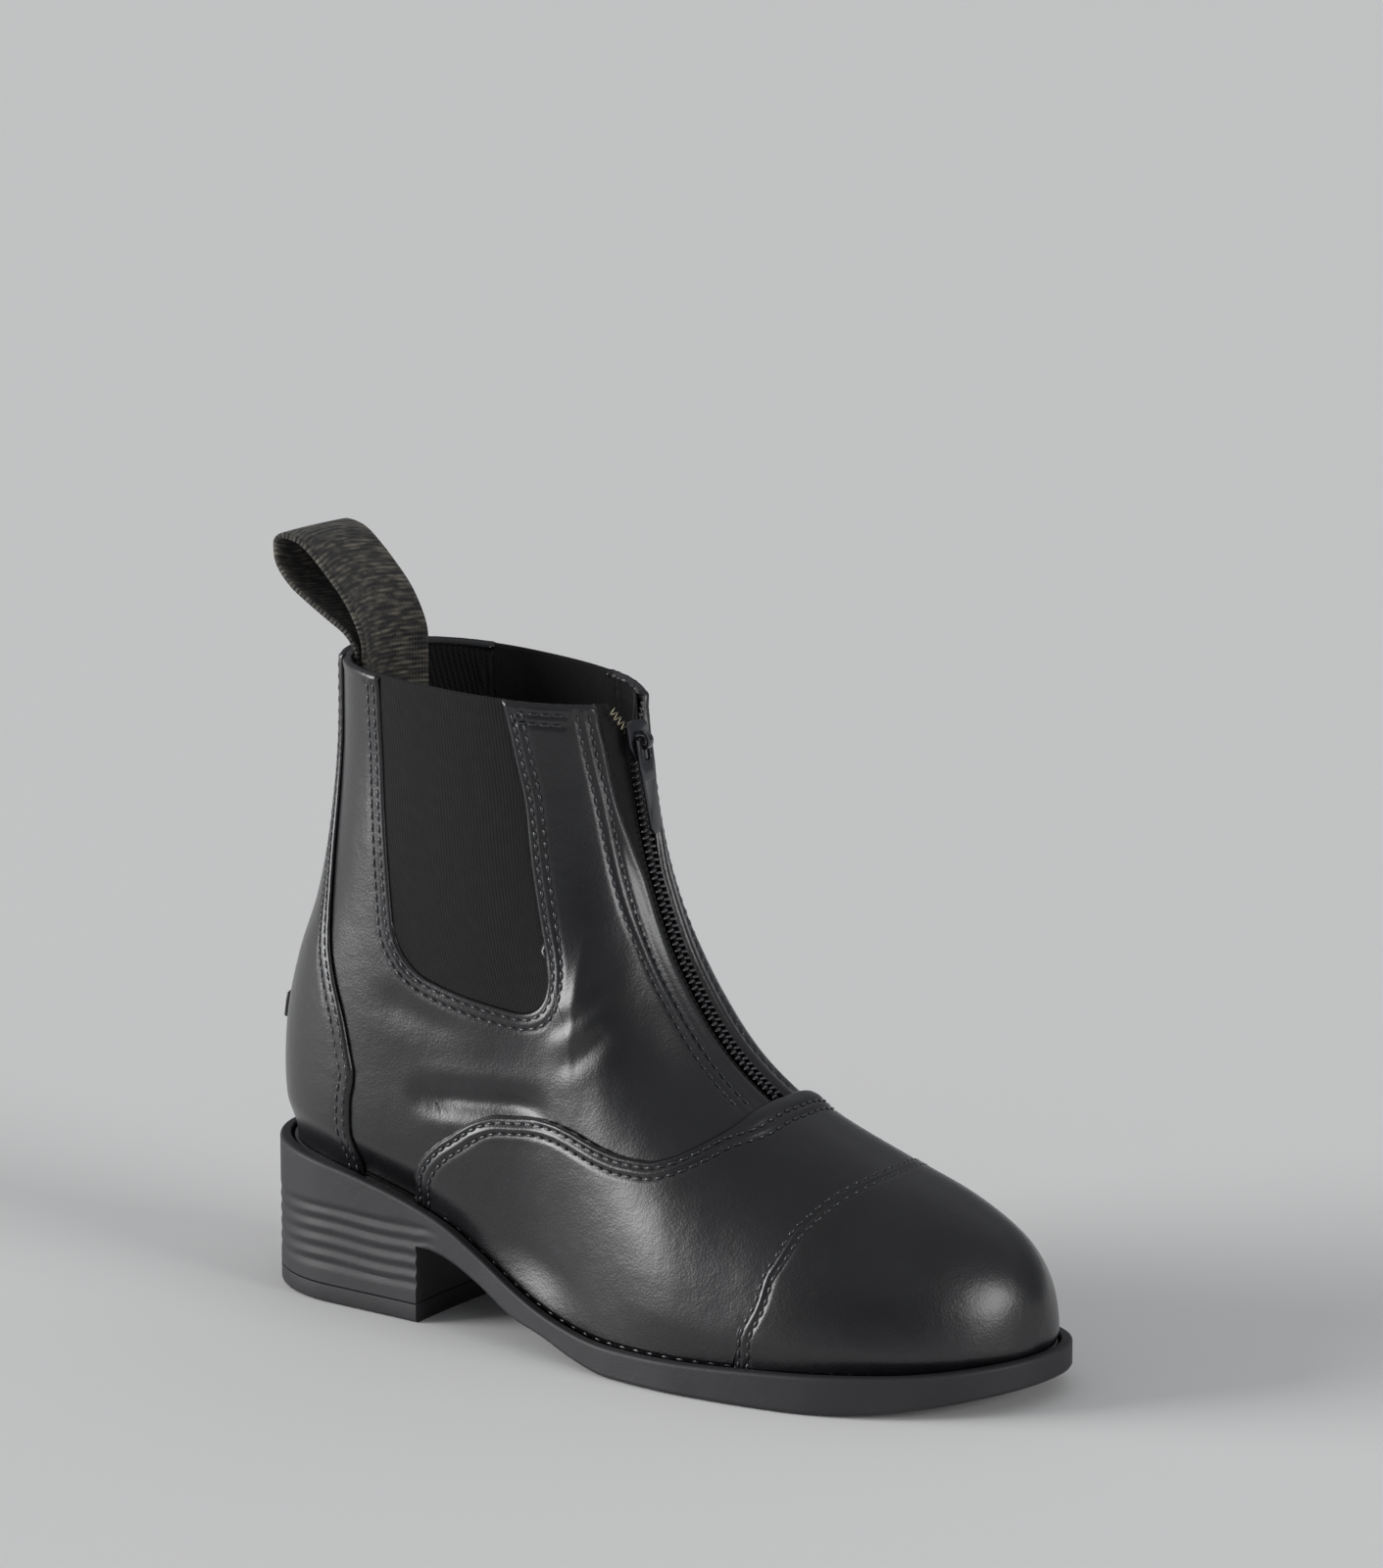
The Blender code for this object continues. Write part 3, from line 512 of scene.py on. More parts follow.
    def offset(self, turn: Array, share: Array, distance: Array | float) -> Array:
        """Points at a distance outside the creased outer face, in the boot's frame."""
        turn, share = np.broadcast_arrays(np.asarray(turn, float), np.asarray(share, float))
        base = self.surface(turn, share)
        out = np.asarray(distance) - self.crease_depth(base)
        return placed(base + self.normal(turn, share) * out[..., None])

    def turn_at(self, share: Array, across: Array) -> Array:
        """Turn at which a row lies a distance across (+ medial) from the front ridge."""
        share, across = np.broadcast_arrays(np.asarray(share, float), np.asarray(across, float))
        low, high = np.full(share.shape, 0.5), np.ones(share.shape)
        for _ in range(26):
            middle = (low + high) / 2
            point = self.surface(np.where(across < 0, middle, 2 - middle), share)
            wide = np.abs(point[..., 1] - self.swing(point[..., 0])) > np.abs(across)
            low, high = np.where(wide, middle, low), np.where(wide, high, middle)
        return np.where(across < 0, high, 2 - high)

    def shifted(self, path: Array, distance: Array | float) -> Array:
        """Path moved sideways over the upper.

        Args:
            path: Turn and share of each point, in order.
            distance: Distance to the left of the way along the path, seen from outside.

        Returns:
            Turn and share of each moved point.
        """
        turn, share = path[:, 0], path[:, 1]
        small = 0.002
        around = (self.surface(turn + small, share) - self.surface(turn - small, share)) / (2 * small)
        up = (self.surface(turn, share + small) - self.surface(turn, share - small)) / (2 * small)
        ahead = np.gradient(self.surface(turn, share), axis=0)
        left = np.cross(self.normal(turn, share), ahead)
        left *= (np.asarray(distance) * np.ones(len(turn)) / np.linalg.norm(left, axis=1))[:, None]
        aa, au, uu = (around * around).sum(1), (around * up).sum(1), (up * up).sum(1)
        la, lu = (left * around).sum(1), (left * up).sum(1)
        det = aa * uu - au * au
        return path + np.stack([(la * uu - lu * au) / det, (lu * aa - la * au) / det], axis=1)


class Side(Enum):
    """Sides of the boot, with the sign of their y."""

    LATERAL = -1
    MEDIAL = 1


class Body(Enum):
    """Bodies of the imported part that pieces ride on."""

    BOOT = "boot"
    PULL_TAB = "pull_tab"


class Slot(Enum):
    """Material slots of the record."""

    LEATHER = "leather"
    SOLE = "sole_rubber"
    LIFT = "lift_rubber"
    WELT = "welt"
    INSOLE = "insole"
    ELASTIC = "elastic"
    TAPE = "zip_tape"
    TEETH = "zip_teeth"
    METAL = "zip_metal"
    WEBBING = "webbing"


def linear(code: str) -> tuple[float, float, float, float]:
    """Linear colour of an sRGB hex value."""
    parts = [int(code[i : i + 2], 16) / 255 for i in (1, 3, 5)]
    parts = [c / 12.92 if c <= 0.04045 else ((c + 0.055) / 1.055) ** 2.4 for c in parts]
    return (*parts, 1.0)


def node(
    tree: bpy.types.NodeTree,
    kind: str,
    feeds: dict | None = None,
    **settings: object,
) -> bpy.types.Node:
    """Adds a node with its settings and links.

    Args:
        tree: Nodes of a material.
        kind: Type of the node, without its ShaderNode.
        feeds: Input name or number, and the output or value that feeds it.
        settings: Properties of the node.

    Returns:
        The new node.
    """
    made = tree.nodes.new("ShaderNode" + kind)
    for key, value in settings.items():
        setattr(made, key, value)
    for key, value in (feeds or {}).items():
        if isinstance(value, bpy.types.NodeSocket):
            tree.links.new(value, made.inputs[key])
        else:
            made.inputs[key].default_value = value
    return made


@dataclass(frozen=True)
class Finish:
    """Look of one real material, even all over."""

    name: str
    colour: str
    roughness: float
    metallic: float = 0.0
    ior: float = 1.5
    coat: float = 0.0
    coat_roughness: float = 0.2
    sheen: float = 0.0

    def build(self) -> bpy.types.Material:
        """Makes the material, its constants on the shader's own sockets."""
        made = bpy.data.materials.new(self.name)
        made.use_nodes = True
        tree = made.node_tree
        shader = tree.nodes["Principled BSDF"]
        values = {
            "Base Color": linear(self.colour),
            "Roughness": self.roughness,
            "Metallic": self.metallic,
            "Coat Weight": self.coat,
            "Coat Roughness": self.coat_roughness,
            "Sheen Weight": self.sheen,
        }
        for key, value in values.items():
            shader.inputs[key].default_value = value
        if self.metallic == 0.0:
            shader.inputs["IOR"].default_value = self.ior
        made.diffuse_color = linear(self.colour)
        self.pattern(tree, shader)
        return made

    def pattern(self, tree: bpy.types.NodeTree, shader: bpy.types.Node) -> None:
        """Adds the pattern of the surface, none here."""

    def mottle(
        self,
        tree: bpy.types.NodeTree,
        place: object,
        size: float,
        light: str,
        low: float,
    ) -> object:
        """Colour that drifts between the finish's own and a lighter one.

        Args:
            tree: Nodes of the material.
            place: Output with coordinates in metres.
            size: Size of a patch, in metres.
            light: Hex value of the lighter colour.
            low: Share of noise below which there is none of it.

        Returns:
            Output with the colour.
        """
        noise = node(tree, "TexNoise", {"Vector": place, "Scale": 1 / size, "Detail": 4.0})
        steps = {"Value": noise.outputs["Fac"], "From Min": low, "From Max": low + 0.3}
        share = node(tree, "MapRange", steps)
        feeds = {0: share.outputs["Result"], 6: linear(self.colour), 7: linear(light)}
        return node(tree, "Mix", feeds, data_type="RGBA").outputs[2]


@dataclass(frozen=True)
class Grained(Finish):
    """Leather or moulded rubber: cells of grain, pores between them and soft unevenness."""

    grain: float = 0.0007
    depth: float = 0.00008
    light: str = "#121217"
    drift: float = 0.05
    wave: float = 0.006
    wave_depth: float = 0.0002

    def pattern(self, tree: bpy.types.NodeTree, shader: bpy.types.Node) -> None:
        """Adds grain, unevenness, and drift of colour and gloss.

        Args:
            tree: Nodes of the material.
            shader: Its shader.
        """
        place = node(tree, "TexCoord").outputs["Object"]
        cells = node(tree, "TexVoronoi", {"Vector": place, "Scale": 1 / self.grain, "Randomness": 0.9})
        soft = {"Vector": place, "Scale": 1 / self.wave, "Detail": 3.0, "Roughness": 0.5}
        uneven = node(tree, "TexNoise", soft).outputs["Fac"]
        feeds = {"Strength": 1.0, "Distance": self.wave_depth, "Height": uneven}
        under = node(tree, "Bump", feeds).outputs["Normal"]
        height = cells.outputs["Distance"]
        feeds = {"Strength": 0.5, "Distance": self.depth, "Height": height, "Normal": under}
        tree.links.new(node(tree, "Bump", feeds).outputs["Normal"], shader.inputs["Normal"])
        tree.links.new(self.mottle(tree, place, 0.02, self.light, 0.4), shader.inputs["Base Color"])
        gloss = {
            "Value": uneven,
            "To Min": self.roughness - self.drift,
            "To Max": self.roughness + self.drift,
        }
        tree.links.new(node(tree, "MapRange", gloss).outputs["Result"], shader.inputs["Roughness"])


@dataclass(frozen=True)
class Ribbed(Finish):
    """Knitted or woven stuff: ribs along one way of its map, crossed by finer threads, with painted shade
    in the rib grooves.
    """

    rib: float = 0.0012
    thread: float = 0.0006
    depth: float = 0.00025
    light: str = "#26262a"
    along: bool = True
    patch: float = 0.004
    stretch: tuple[float, float, float] = (1.0, 1.0, 1.0)
    low: float = 0.45

    def pattern(self, tree: bpy.types.NodeTree, shader: bpy.types.Node) -> None:
        """Adds ribs, threads, uneven yarn and painted shade in the rib grooves on the piece's own map,
        whose unit is a metre.

        Args:
            tree: Nodes of the material.
            shader: Its shader.
        """
        place = node(tree, "TexCoord").outputs["UV"]
        ways = ("X", "Y") if self.along else ("Y", "X")
        # A wave of scale s repeats every 2 pi / (20 s) of its coordinate.
        scales = [2 * math.pi / (20 * size) for size in (self.rib, self.thread)]
        waves = []
        for way, scale in zip(ways, scales):
            feeds = {"Vector": place, "Scale": scale, "Distortion": 0.3, "Detail": 1.0}
            waves.append(node(tree, "TexWave", feeds, bands_direction=way).outputs["Fac"])
        crossed = node(tree, "Math", {0: waves[1], 1: 0.35, 2: waves[0]}, operation="MULTIPLY_ADD")
        feeds = {"Strength": 0.8, "Distance": self.depth, "Height": crossed.outputs["Value"]}
        tree.links.new(node(tree, "Bump", feeds).outputs["Normal"], shader.inputs["Normal"])
        flecks = node(tree, "Mapping", {"Vector": place, "Scale": self.stretch}).outputs["Vector"]
        colour = self.mottle(tree, flecks, self.patch, self.light, self.low)
        # Painted shade: the yarn colour is darkened to 0.45 in the rib grooves and kept full on the rib
        # tops, following the same wave as the bump.
        groove = node(tree, "MapRange", {"Value": waves[0], "To Min": 0.45, "To Max": 1.0})
        feeds = {0: 1.0, 6: colour, 7: groove.outputs["Result"]}
        shade = node(tree, "Mix", feeds, data_type="RGBA", blend_type="MULTIPLY")
        tree.links.new(shade.outputs[2], shader.inputs["Base Color"])


class Look(Enum):
    """Finishes of the boot."""

    # Aniline-dyed calf with a satin top coat: near black, soft wide highlights, fine grain.
    LEATHER = Grained("satin_black_calf", "#08080b", 0.36, coat=0.45, coat_roughness=0.27)
    # Moulded nitrile rubber: charcoal, dull, with a fine sandy skin.
    RUBBER = Grained(
        "moulded_charcoal_rubber", "#222225", 0.58, grain=0.0005, depth=0.00005, light="#2a2a2d", wave=0.01
    )
    # Harder rubber of the top lift, dull and slightly darker.
    LIFT = Grained(
        "hard_rubber_lift", "#1f1f22", 0.66, grain=0.0006, depth=0.00006, light="#28282b", wave=0.008
    )
    # Waxed leather welt: black with a hard shine.
    WELT = Grained(
        "waxed_black_welt", "#0a0a0c", 0.26, coat=0.35, coat_roughness=0.12, depth=0.00004, light="#141417"
    )
    # Waxed polyester thread: black, catching small lights. Its twist is drawn 0.5 mm wide to show.
    THREAD = Grained(
        "waxed_black_thread",
        "#1d1e23",
        0.30,
        coat=0.4,
        grain=0.0005,
        depth=0.00010,
        light="#2c2d34",
    )
    # Nylon coil of the zip: moulded, semi-gloss.
    COIL = Grained(
        "black_nylon_coil",
        "#2a2a2e",
        0.22,
        coat=1.0,
        coat_roughness=0.12,
        grain=0.0006,
        depth=0.00003,
        light="#36363b",
    )
    # Knitted elastic: matt, with fine upright ribs.
    ELASTIC = Ribbed(
        "knitted_black_elastic",
        "#08080a",
        0.88,
        rib=0.0009,
        thread=0.0007,
        depth=0.00010,
        light="#141418",
    )
    # Twill zip tape: matt, threads drawn 0.7 mm wide to show.
    TAPE = Ribbed(
        "black_twill_tape",
        "#08080a",
        0.82,
        light="#131316",
        rib=0.0007,
        thread=0.0009,
        depth=0.00012,
    )
    # Polyester webbing: close cross ribs, near black with khaki-grey flecks of worn yarn.
    WEBBING = Ribbed(
        "ribbed_grey_webbing",
        "#2c2b2a",
        0.80,
        sheen=0.10,
        rib=0.0013,
        thread=0.0009,
        depth=0.00035,
        light="#7d776a",
        along=False,
        patch=0.0040,
        stretch=(0.8, 2.6, 1.0),
        low=0.44,
    )
    # Brushed textile lining: dark, without shine.
    LINING = Ribbed(
        "dark_textile_lining",
        "#070708",
        0.95,
        light="#101012",
        rib=0.0016,
        thread=0.0012,
        depth=0.0002,
    )
    # Grey twill of the patch inside the back of the collar.
    PATCH = Ribbed(
        "grey_twill_patch",
        "#4a4a4b",
        0.88,
        sheen=0.2,
        rib=0.0012,
        thread=0.0010,
        light="#6a6966",
    )
    # Leather board of the insole: dull brown-black.
    INSOLE = Grained("insole_leather_board", "#1c1a18", 0.80, grain=0.0012, depth=0.00006, light="#262320")
    # Die-cast zinc with black enamel: dark, with tight bright highlights.
    METAL = Grained(
        "black_enamelled_zinc",
        "#34353a",
        0.24,
        metallic=0.8,
        coat=1.0,
        coat_roughness=0.10,
        grain=0.002,
        depth=0.00002,
        light="#3d3e44",
        wave_depth=0.00003,
    )
    # Brass wire that ends the coil, dulled by handling.
    BRASS = Grained(
        "dull_brass_wire",
        "#8c8674",
        0.34,
        metallic=1.0,
        grain=0.0008,
        depth=0.00002,
        light="#a49c86",
    )


@dataclass
class Bench:
    """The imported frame, the last and the finishes that every sub-assembly is built with."""

    frame: dict
    last: Last
    made: dict[Look, bpy.types.Material] = field(default_factory=dict)

    def material(self, look: Look) -> bpy.types.Material:
        """Material of a finish, made once."""
        if look not in self.made:
            self.made[look] = look.value.build()
        return self.made[look]

    def piece(
        self,
        name: str,
        bm: bmesh.types.BMesh,
        looks: Sequence[Look],
        slot: Slot,
        stands_for: Sequence[str] = (),
        body: Body = Body.BOOT,
        sharp: float = 50.0,
    ) -> bpy.types.Object:
        """Turns a shaped mesh into a piece of the boot.

        Args:
            name: Name of the piece.
            bm: Its mesh, which is freed.
            looks: Its finishes, in the order of its material numbers.
            slot: Material slot of the record; not used.
            stands_for: CAD nodes that it replaces.
            body: Body that it rides on.
            sharp: Angle between faces, in degrees, above which an edge stays sharp.

        Returns:
            The piece.
        """
        mesh = bpy.data.meshes.new(name)
        bm.to_mesh(mesh)
        bm.free()
        mesh.shade_smooth()
        mesh.set_sharp_from_angle(angle=math.radians(sharp))
        for look in looks:
            mesh.materials.append(self.material(look))
        made = bpy.data.objects.new(name, mesh)
        bpy.context.scene.collection.objects.link(made)
        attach(made, body.value)
        if stands_for:
            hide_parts(*stands_for)
        LOG.info("%s: %d faces, for %s", name, len(mesh.polygons), ", ".join(stands_for) or "no node")
        return made

    def node_copy(self, name: str, bevel: float) -> bmesh.types.BMesh:
        """Merged copy of a CAD node with its edges rounded.

        Args:
            name: Name of the node.
            bevel: Width of the rounding.

        Returns:
            The copy.
        """
        bm = bmesh.new()
        bm.from_mesh(self.frame["nodes"][name].data)
        bmesh.ops.remove_doubles(bm, verts=bm.verts[:], dist=1e-6)
        bmesh.ops.dissolve_limit(bm, angle_limit=math.radians(2), verts=bm.verts[:], edges=bm.edges[:])
        edges = [edge for edge in bm.edges if edge.calc_face_angle(0.0) > math.radians(35)]
        bmesh.ops.bevel(
            bm,
            geom=edges,
            offset=bevel,
            offset_type="OFFSET",
            segments=3,
            profile=0.5,
            affect="EDGES",
            clamp_overlap=True,
            material=-1,
        )
        bmesh.ops.triangulate(bm, faces=[face for face in bm.faces if len(face.verts) > 4])
        return bm


def spread(points: Array) -> Array:
    """Map of a grid of points whose unit is a metre: along its columns and its rows."""
    across = np.linalg.norm(np.diff(points, axis=1), axis=2).cumsum(axis=1)
    up = np.linalg.norm(np.diff(points, axis=0), axis=2).cumsum(axis=0)
    across = np.pad(across, ((0, 0), (1, 0)))
    across = across - across.mean(axis=1, keepdims=True)
    return np.stack([across, np.pad(up, ((1, 0), (0, 0)))], axis=2)


def laid(
    points: Array,
    keep: Array | None = None,
    bm: bmesh.types.BMesh | None = None,
) -> bmesh.types.BMesh:
    """Lays a grid of Blender's grid operator through rows of points.

    Args:
        points: Places, by row and column.
        keep: True for each face that stays, by row and column.
        bm: Mesh to add to, a new one if left out.

    Returns:
        The mesh, with a map in metres.
    """
    bm = bm or bmesh.new()
    rows, columns = points.shape[:2]
    start, first = len(bm.verts), len(bm.faces)
    bmesh.ops.create_grid(bm, x_segments=columns - 1, y_segments=rows - 1, size=1.0)
    bm.verts.ensure_lookup_table()
    bm.verts.index_update()
    for vert, place in zip(bm.verts[start:], points.reshape(-1, 3)):
        vert.co = place
    layer = bm.loops.layers.uv.verify()
    uv = spread(points).reshape(-1, 2)
    bm.faces.ensure_lookup_table()
    for face in bm.faces[first:]:
        for loop in face.loops:
            loop[layer].uv = uv[loop.vert.index - start]
    if keep is not None:
        gone = [face for face, stays in zip(bm.faces[first:], keep.reshape(-1)) if not stays]
        bmesh.ops.delete(bm, geom=gone, context="FACES")
    return bm


def closed(bm: bmesh.types.BMesh) -> bmesh.types.BMesh:
    """Merges the seams of a mesh and turns its faces outwards."""
    bmesh.ops.remove_doubles(bm, verts=bm.verts[:], dist=2e-6)
    bmesh.ops.recalc_face_normals(bm, faces=bm.faces[:])
    return bm


def walled(made: bpy.types.Object, thickness: float, inside: bool = False) -> bpy.types.Object:
    """Gives a sheet its thickness, inwards.

    Args:
        made: Piece made of a single sheet.
        thickness: Thickness of its wall.
        inside: True if the inner face takes the next finish.

    Returns:
        The piece.
    """
    wall = made.modifiers.new("wall", "SOLIDIFY")
    wall.thickness = thickness
    wall.offset = -1.0
    wall.use_even_offset = False
    wall.material_offset = 1 if inside else 0
    return made


def mirrored(path: Array) -> Array:
    """The same line on the medial side, run the other way so that its left side stays the same."""
    return np.stack([2 - path[:, 0], path[:, 1]], axis=1)[::-1]


def along(places: Sequence[tuple[float, float]], steps: int = 400) -> Array:
    """Smooth line through places on the upper.

    Args:
        places: Turn and share of each place.
        steps: Number of points.

    Returns:
        Turn and share of each point.
    """
    rows = np.array(places, float)
    knots = np.concatenate([[0.0], np.cumsum(np.hypot(*(np.diff(rows, axis=0) * [3.0, 1.0]).T))])
    at = np.linspace(0.0, knots[-1], steps)
    return np.stack([Curve(list(zip(knots, rows[:, k])))(at) for k in (0, 1)], axis=1)


class Track:
    """Line over the upper with a point every half millimetre, and distances to it."""

    def __init__(self, last: Last, path: Array, step: float = 0.0005) -> None:
        """Spaces the points and plants them in a tree.

        Args:
            last: Form of the upper.
            path: Turn and share of each point.
            step: Distance between the spaced points.
        """
        points = last.surface(path[:, 0], path[:, 1])
        run = np.concatenate([[0.0], np.linalg.norm(np.diff(points, axis=0), axis=1).cumsum()])
        at = np.linspace(0.0, run[-1], max(2, int(run[-1] / step)))
        self.last, self.length, self.run = last, run[-1], at
        self.path = np.stack([np.interp(at, run, path[:, k]) for k in (0, 1)], axis=1)
        self.tree = KDTree(len(at))
        for i, point in enumerate(last.surface(self.path[:, 0], self.path[:, 1])):
            self.tree.insert(point, i)
        self.tree.balance()

    def distance(self, points: Array) -> Array:
        """Distances of points of the outer face from the line."""
        found = [self.tree.find(point)[2] for point in points.reshape(-1, 3)]
        return np.array(found).reshape(points.shape[:-1])

    def at(self, runs: Array) -> Array:
        """Turn and share at distances along the line."""
        return np.stack([np.interp(runs, self.run, self.path[:, k]) for k in (0, 1)], axis=1)

    def beside(self, distance: Array | float) -> "Track":
        """The line moved to its left."""
        return Track(self.last, self.last.shifted(self.path[::4], distance))


@dataclass
class Seam:
    """Cut edge of a panel, its stitch rows, and what they press into the leather."""

    edge: Track | None
    rows: Sequence[Track] = ()
    roll: float = 0.0008
    roll_width: float = 0.0013
    groove: float = 0.00032
    groove_width: float = 0.0007
    ridge: float = 0.00018
    gap: float = 0.0027
    fold: float = 0.0
    fold_at: float = 0.0020
    fold_width: float = 0.0014

    def relief(self, points: Array) -> Array:
        """Heights that the seam adds to points of the outer face."""
        total = np.zeros(points.shape[:-1])
        if self.edge is not None:
            away = self.edge.distance(points)
            total -= self.roll * (1 - smooth(away / self.roll_width)) ** 2
            total += self.fold * hump(away, self.fold_at, self.fold_width)
        gaps = [row.distance(points) for row in self.rows]
        for away in gaps:
            total -= self.groove * hump(away, 0.0, self.groove_width)
        for one, two in zip(gaps, gaps[1:]):
            total += self.ridge * hump(one - two, 0.0, 0.0013) * hump(one + two, self.gap, 0.0010)
        return total


@dataclass(frozen=True)
class Gauge:
    """Size of a row's stitches."""

    pitch: float = 0.0030
    length: float = 0.0023
    thick: float = 0.00085
    proud: float = 0.00014


@dataclass
class Panel:
    """Sheet of leather over part of the upper."""

    bench: Bench
    name: str
    face: float
    thick: float
    seams: Sequence[Seam] = ()
    crown: Callable[[Array, Array], Array] | None = None

    def height(self, turn: Array, share: Array) -> Array:
        """Heights of the panel's face above the last."""
        points = self.bench.last.surface(turn, share)
        total = self.face + sum((seam.relief(points) for seam in self.seams), np.zeros(points.shape[:-1]))
        return total if self.crown is None else total + self.crown(turn, share)

    def points(self, turn: Array, share: Array) -> Array:
        """Points of the panel's face."""
        return self.bench.last.offset(turn, share, self.height(turn, share))

    def build(
        self,
        turn: Array,
        share: Array,
        stands_for: Sequence[str],
        keep: Array | None = None,
    ) -> None:
        """Makes the panel and its stitch rows.

        Args:
            turn: Turns of its grid, by row and column.
            share: Shares of its grid.
            stands_for: CAD nodes that it replaces.
            keep: True for each face that stays.
        """
        bm = laid(self.points(turn, share), keep)
        looks = (Look.LEATHER, Look.LINING)
        made = self.bench.piece(self.name, bm, looks, Slot.LEATHER, stands_for)
        walled(made, self.thick, inside=self.face == 0.0)
        rows = [row for seam in self.seams for row in seam.rows]
        for i, row in enumerate(rows):
            self.sew(f"{self.name}_stitches_{i + 1}", row)

    def sew(self, name: str, row: Track, gauge: Gauge = Gauge()) -> None:
        """Lays a row of stitches along a line.

        Args:
            name: Name of the row.
            row: Line that it follows.
            gauge: Size of its stitches.
        """
        count = max(2, int(row.length / gauge.pitch))
        runs = (np.arange(count) + 0.5) * row.length / count
        half = gauge.length / 2
        ends = [self.stitch_points(row.at(np.clip(runs + d, 0.0, row.length))) for d in (-half, half)]
        middle = self.stitch_points(row.at(runs))
        place = row.at(runs)
        out = self.bench.last.normal(place[:, 0], place[:, 1])
        bm = thread_row(middle, ends[1] - ends[0], out, gauge)
        self.bench.piece(name, bm, [Look.THREAD], Slot.LEATHER)

    def stitch_points(self, path: Array) -> Array:
        """Points of the panel's face along a line."""
        return self.points(path[:, 0], path[:, 1])


def thread_row(middle: Array, ahead: Array, out: Array, gauge: Gauge) -> bmesh.types.BMesh:
    """Stitches of one row, each a slim ellipsoid half sunk in its hole.

    Args:
        middle: Middle of each stitch.
        ahead: Way along each stitch.
        out: Way out of the leather at each stitch.
        gauge: Size of the stitches.

    Returns:
        The mesh.
    """
    bm = bmesh.new()
    for point, way, up in zip(middle, ahead, out):
        way = Vector(way).normalized()
        up = Vector(up)
        up = (up - way * up.dot(way)).normalized()
        across = up.cross(way)
        point = Vector(point) + up * gauge.proud
        sizes = (across * gauge.thick / 2, up * gauge.thick * 0.45, way * gauge.length / 2)
        matrix = Matrix([(*size, 0.0) for size in sizes] + [(*point, 1.0)]).transposed()
        bmesh.ops.create_uvsphere(bm, u_segments=8, v_segments=6, radius=1.0, matrix=matrix)
    bmesh.ops.recalc_face_normals(bm, faces=bm.faces[:])
    return bm


def gore_foot(s: Array) -> Array:
    """Share of the gore's lower edge from its back (s 0) to its front (s 1)."""
    back, front = GORE_BACK_CORNER, GORE_FRONT_CORNER
    rise = back[1] * (1 - rounded(s / back[0], 2.0))
    return GORE_FOOT + rise + front[1] * (1 - rounded((1 - s) / front[0], 2.0))


GORE_BACK, GORE_FRONT = Curve(column(GORE_SIDES, 1)), Curve(column(GORE_SIDES, 2))
ZIP_HALF, COUNTER_TURN = Curve(ZIP_WIDTHS), Curve(COUNTER_EDGE)


def gore_turn(share: Array, s: Array) -> Array:
    """Turn across the gore on the lateral side."""
    share = np.maximum(share, GORE_SIDES[0][0])
    return lerp(GORE_BACK(share), GORE_FRONT(share), s)


def eased(count: int, start: float, end: float) -> Array:
    """Steps from 0 to 1, closer together at the start or the end by a share of 0 to 1.

    Args:
        count: Number of steps.
        start: How much closer they lie at the start.
        end: How much closer they lie at the end.

    Returns:
        The steps.
    """
    t = np.linspace(0.0, 1.0, count)
    pace = 1.0 - start * (1 - t) ** 2 - end * t**2
    run = np.concatenate([[0.0], ((pace[1:] + pace[:-1]) / 2).cumsum()])
    return run / run[-1]


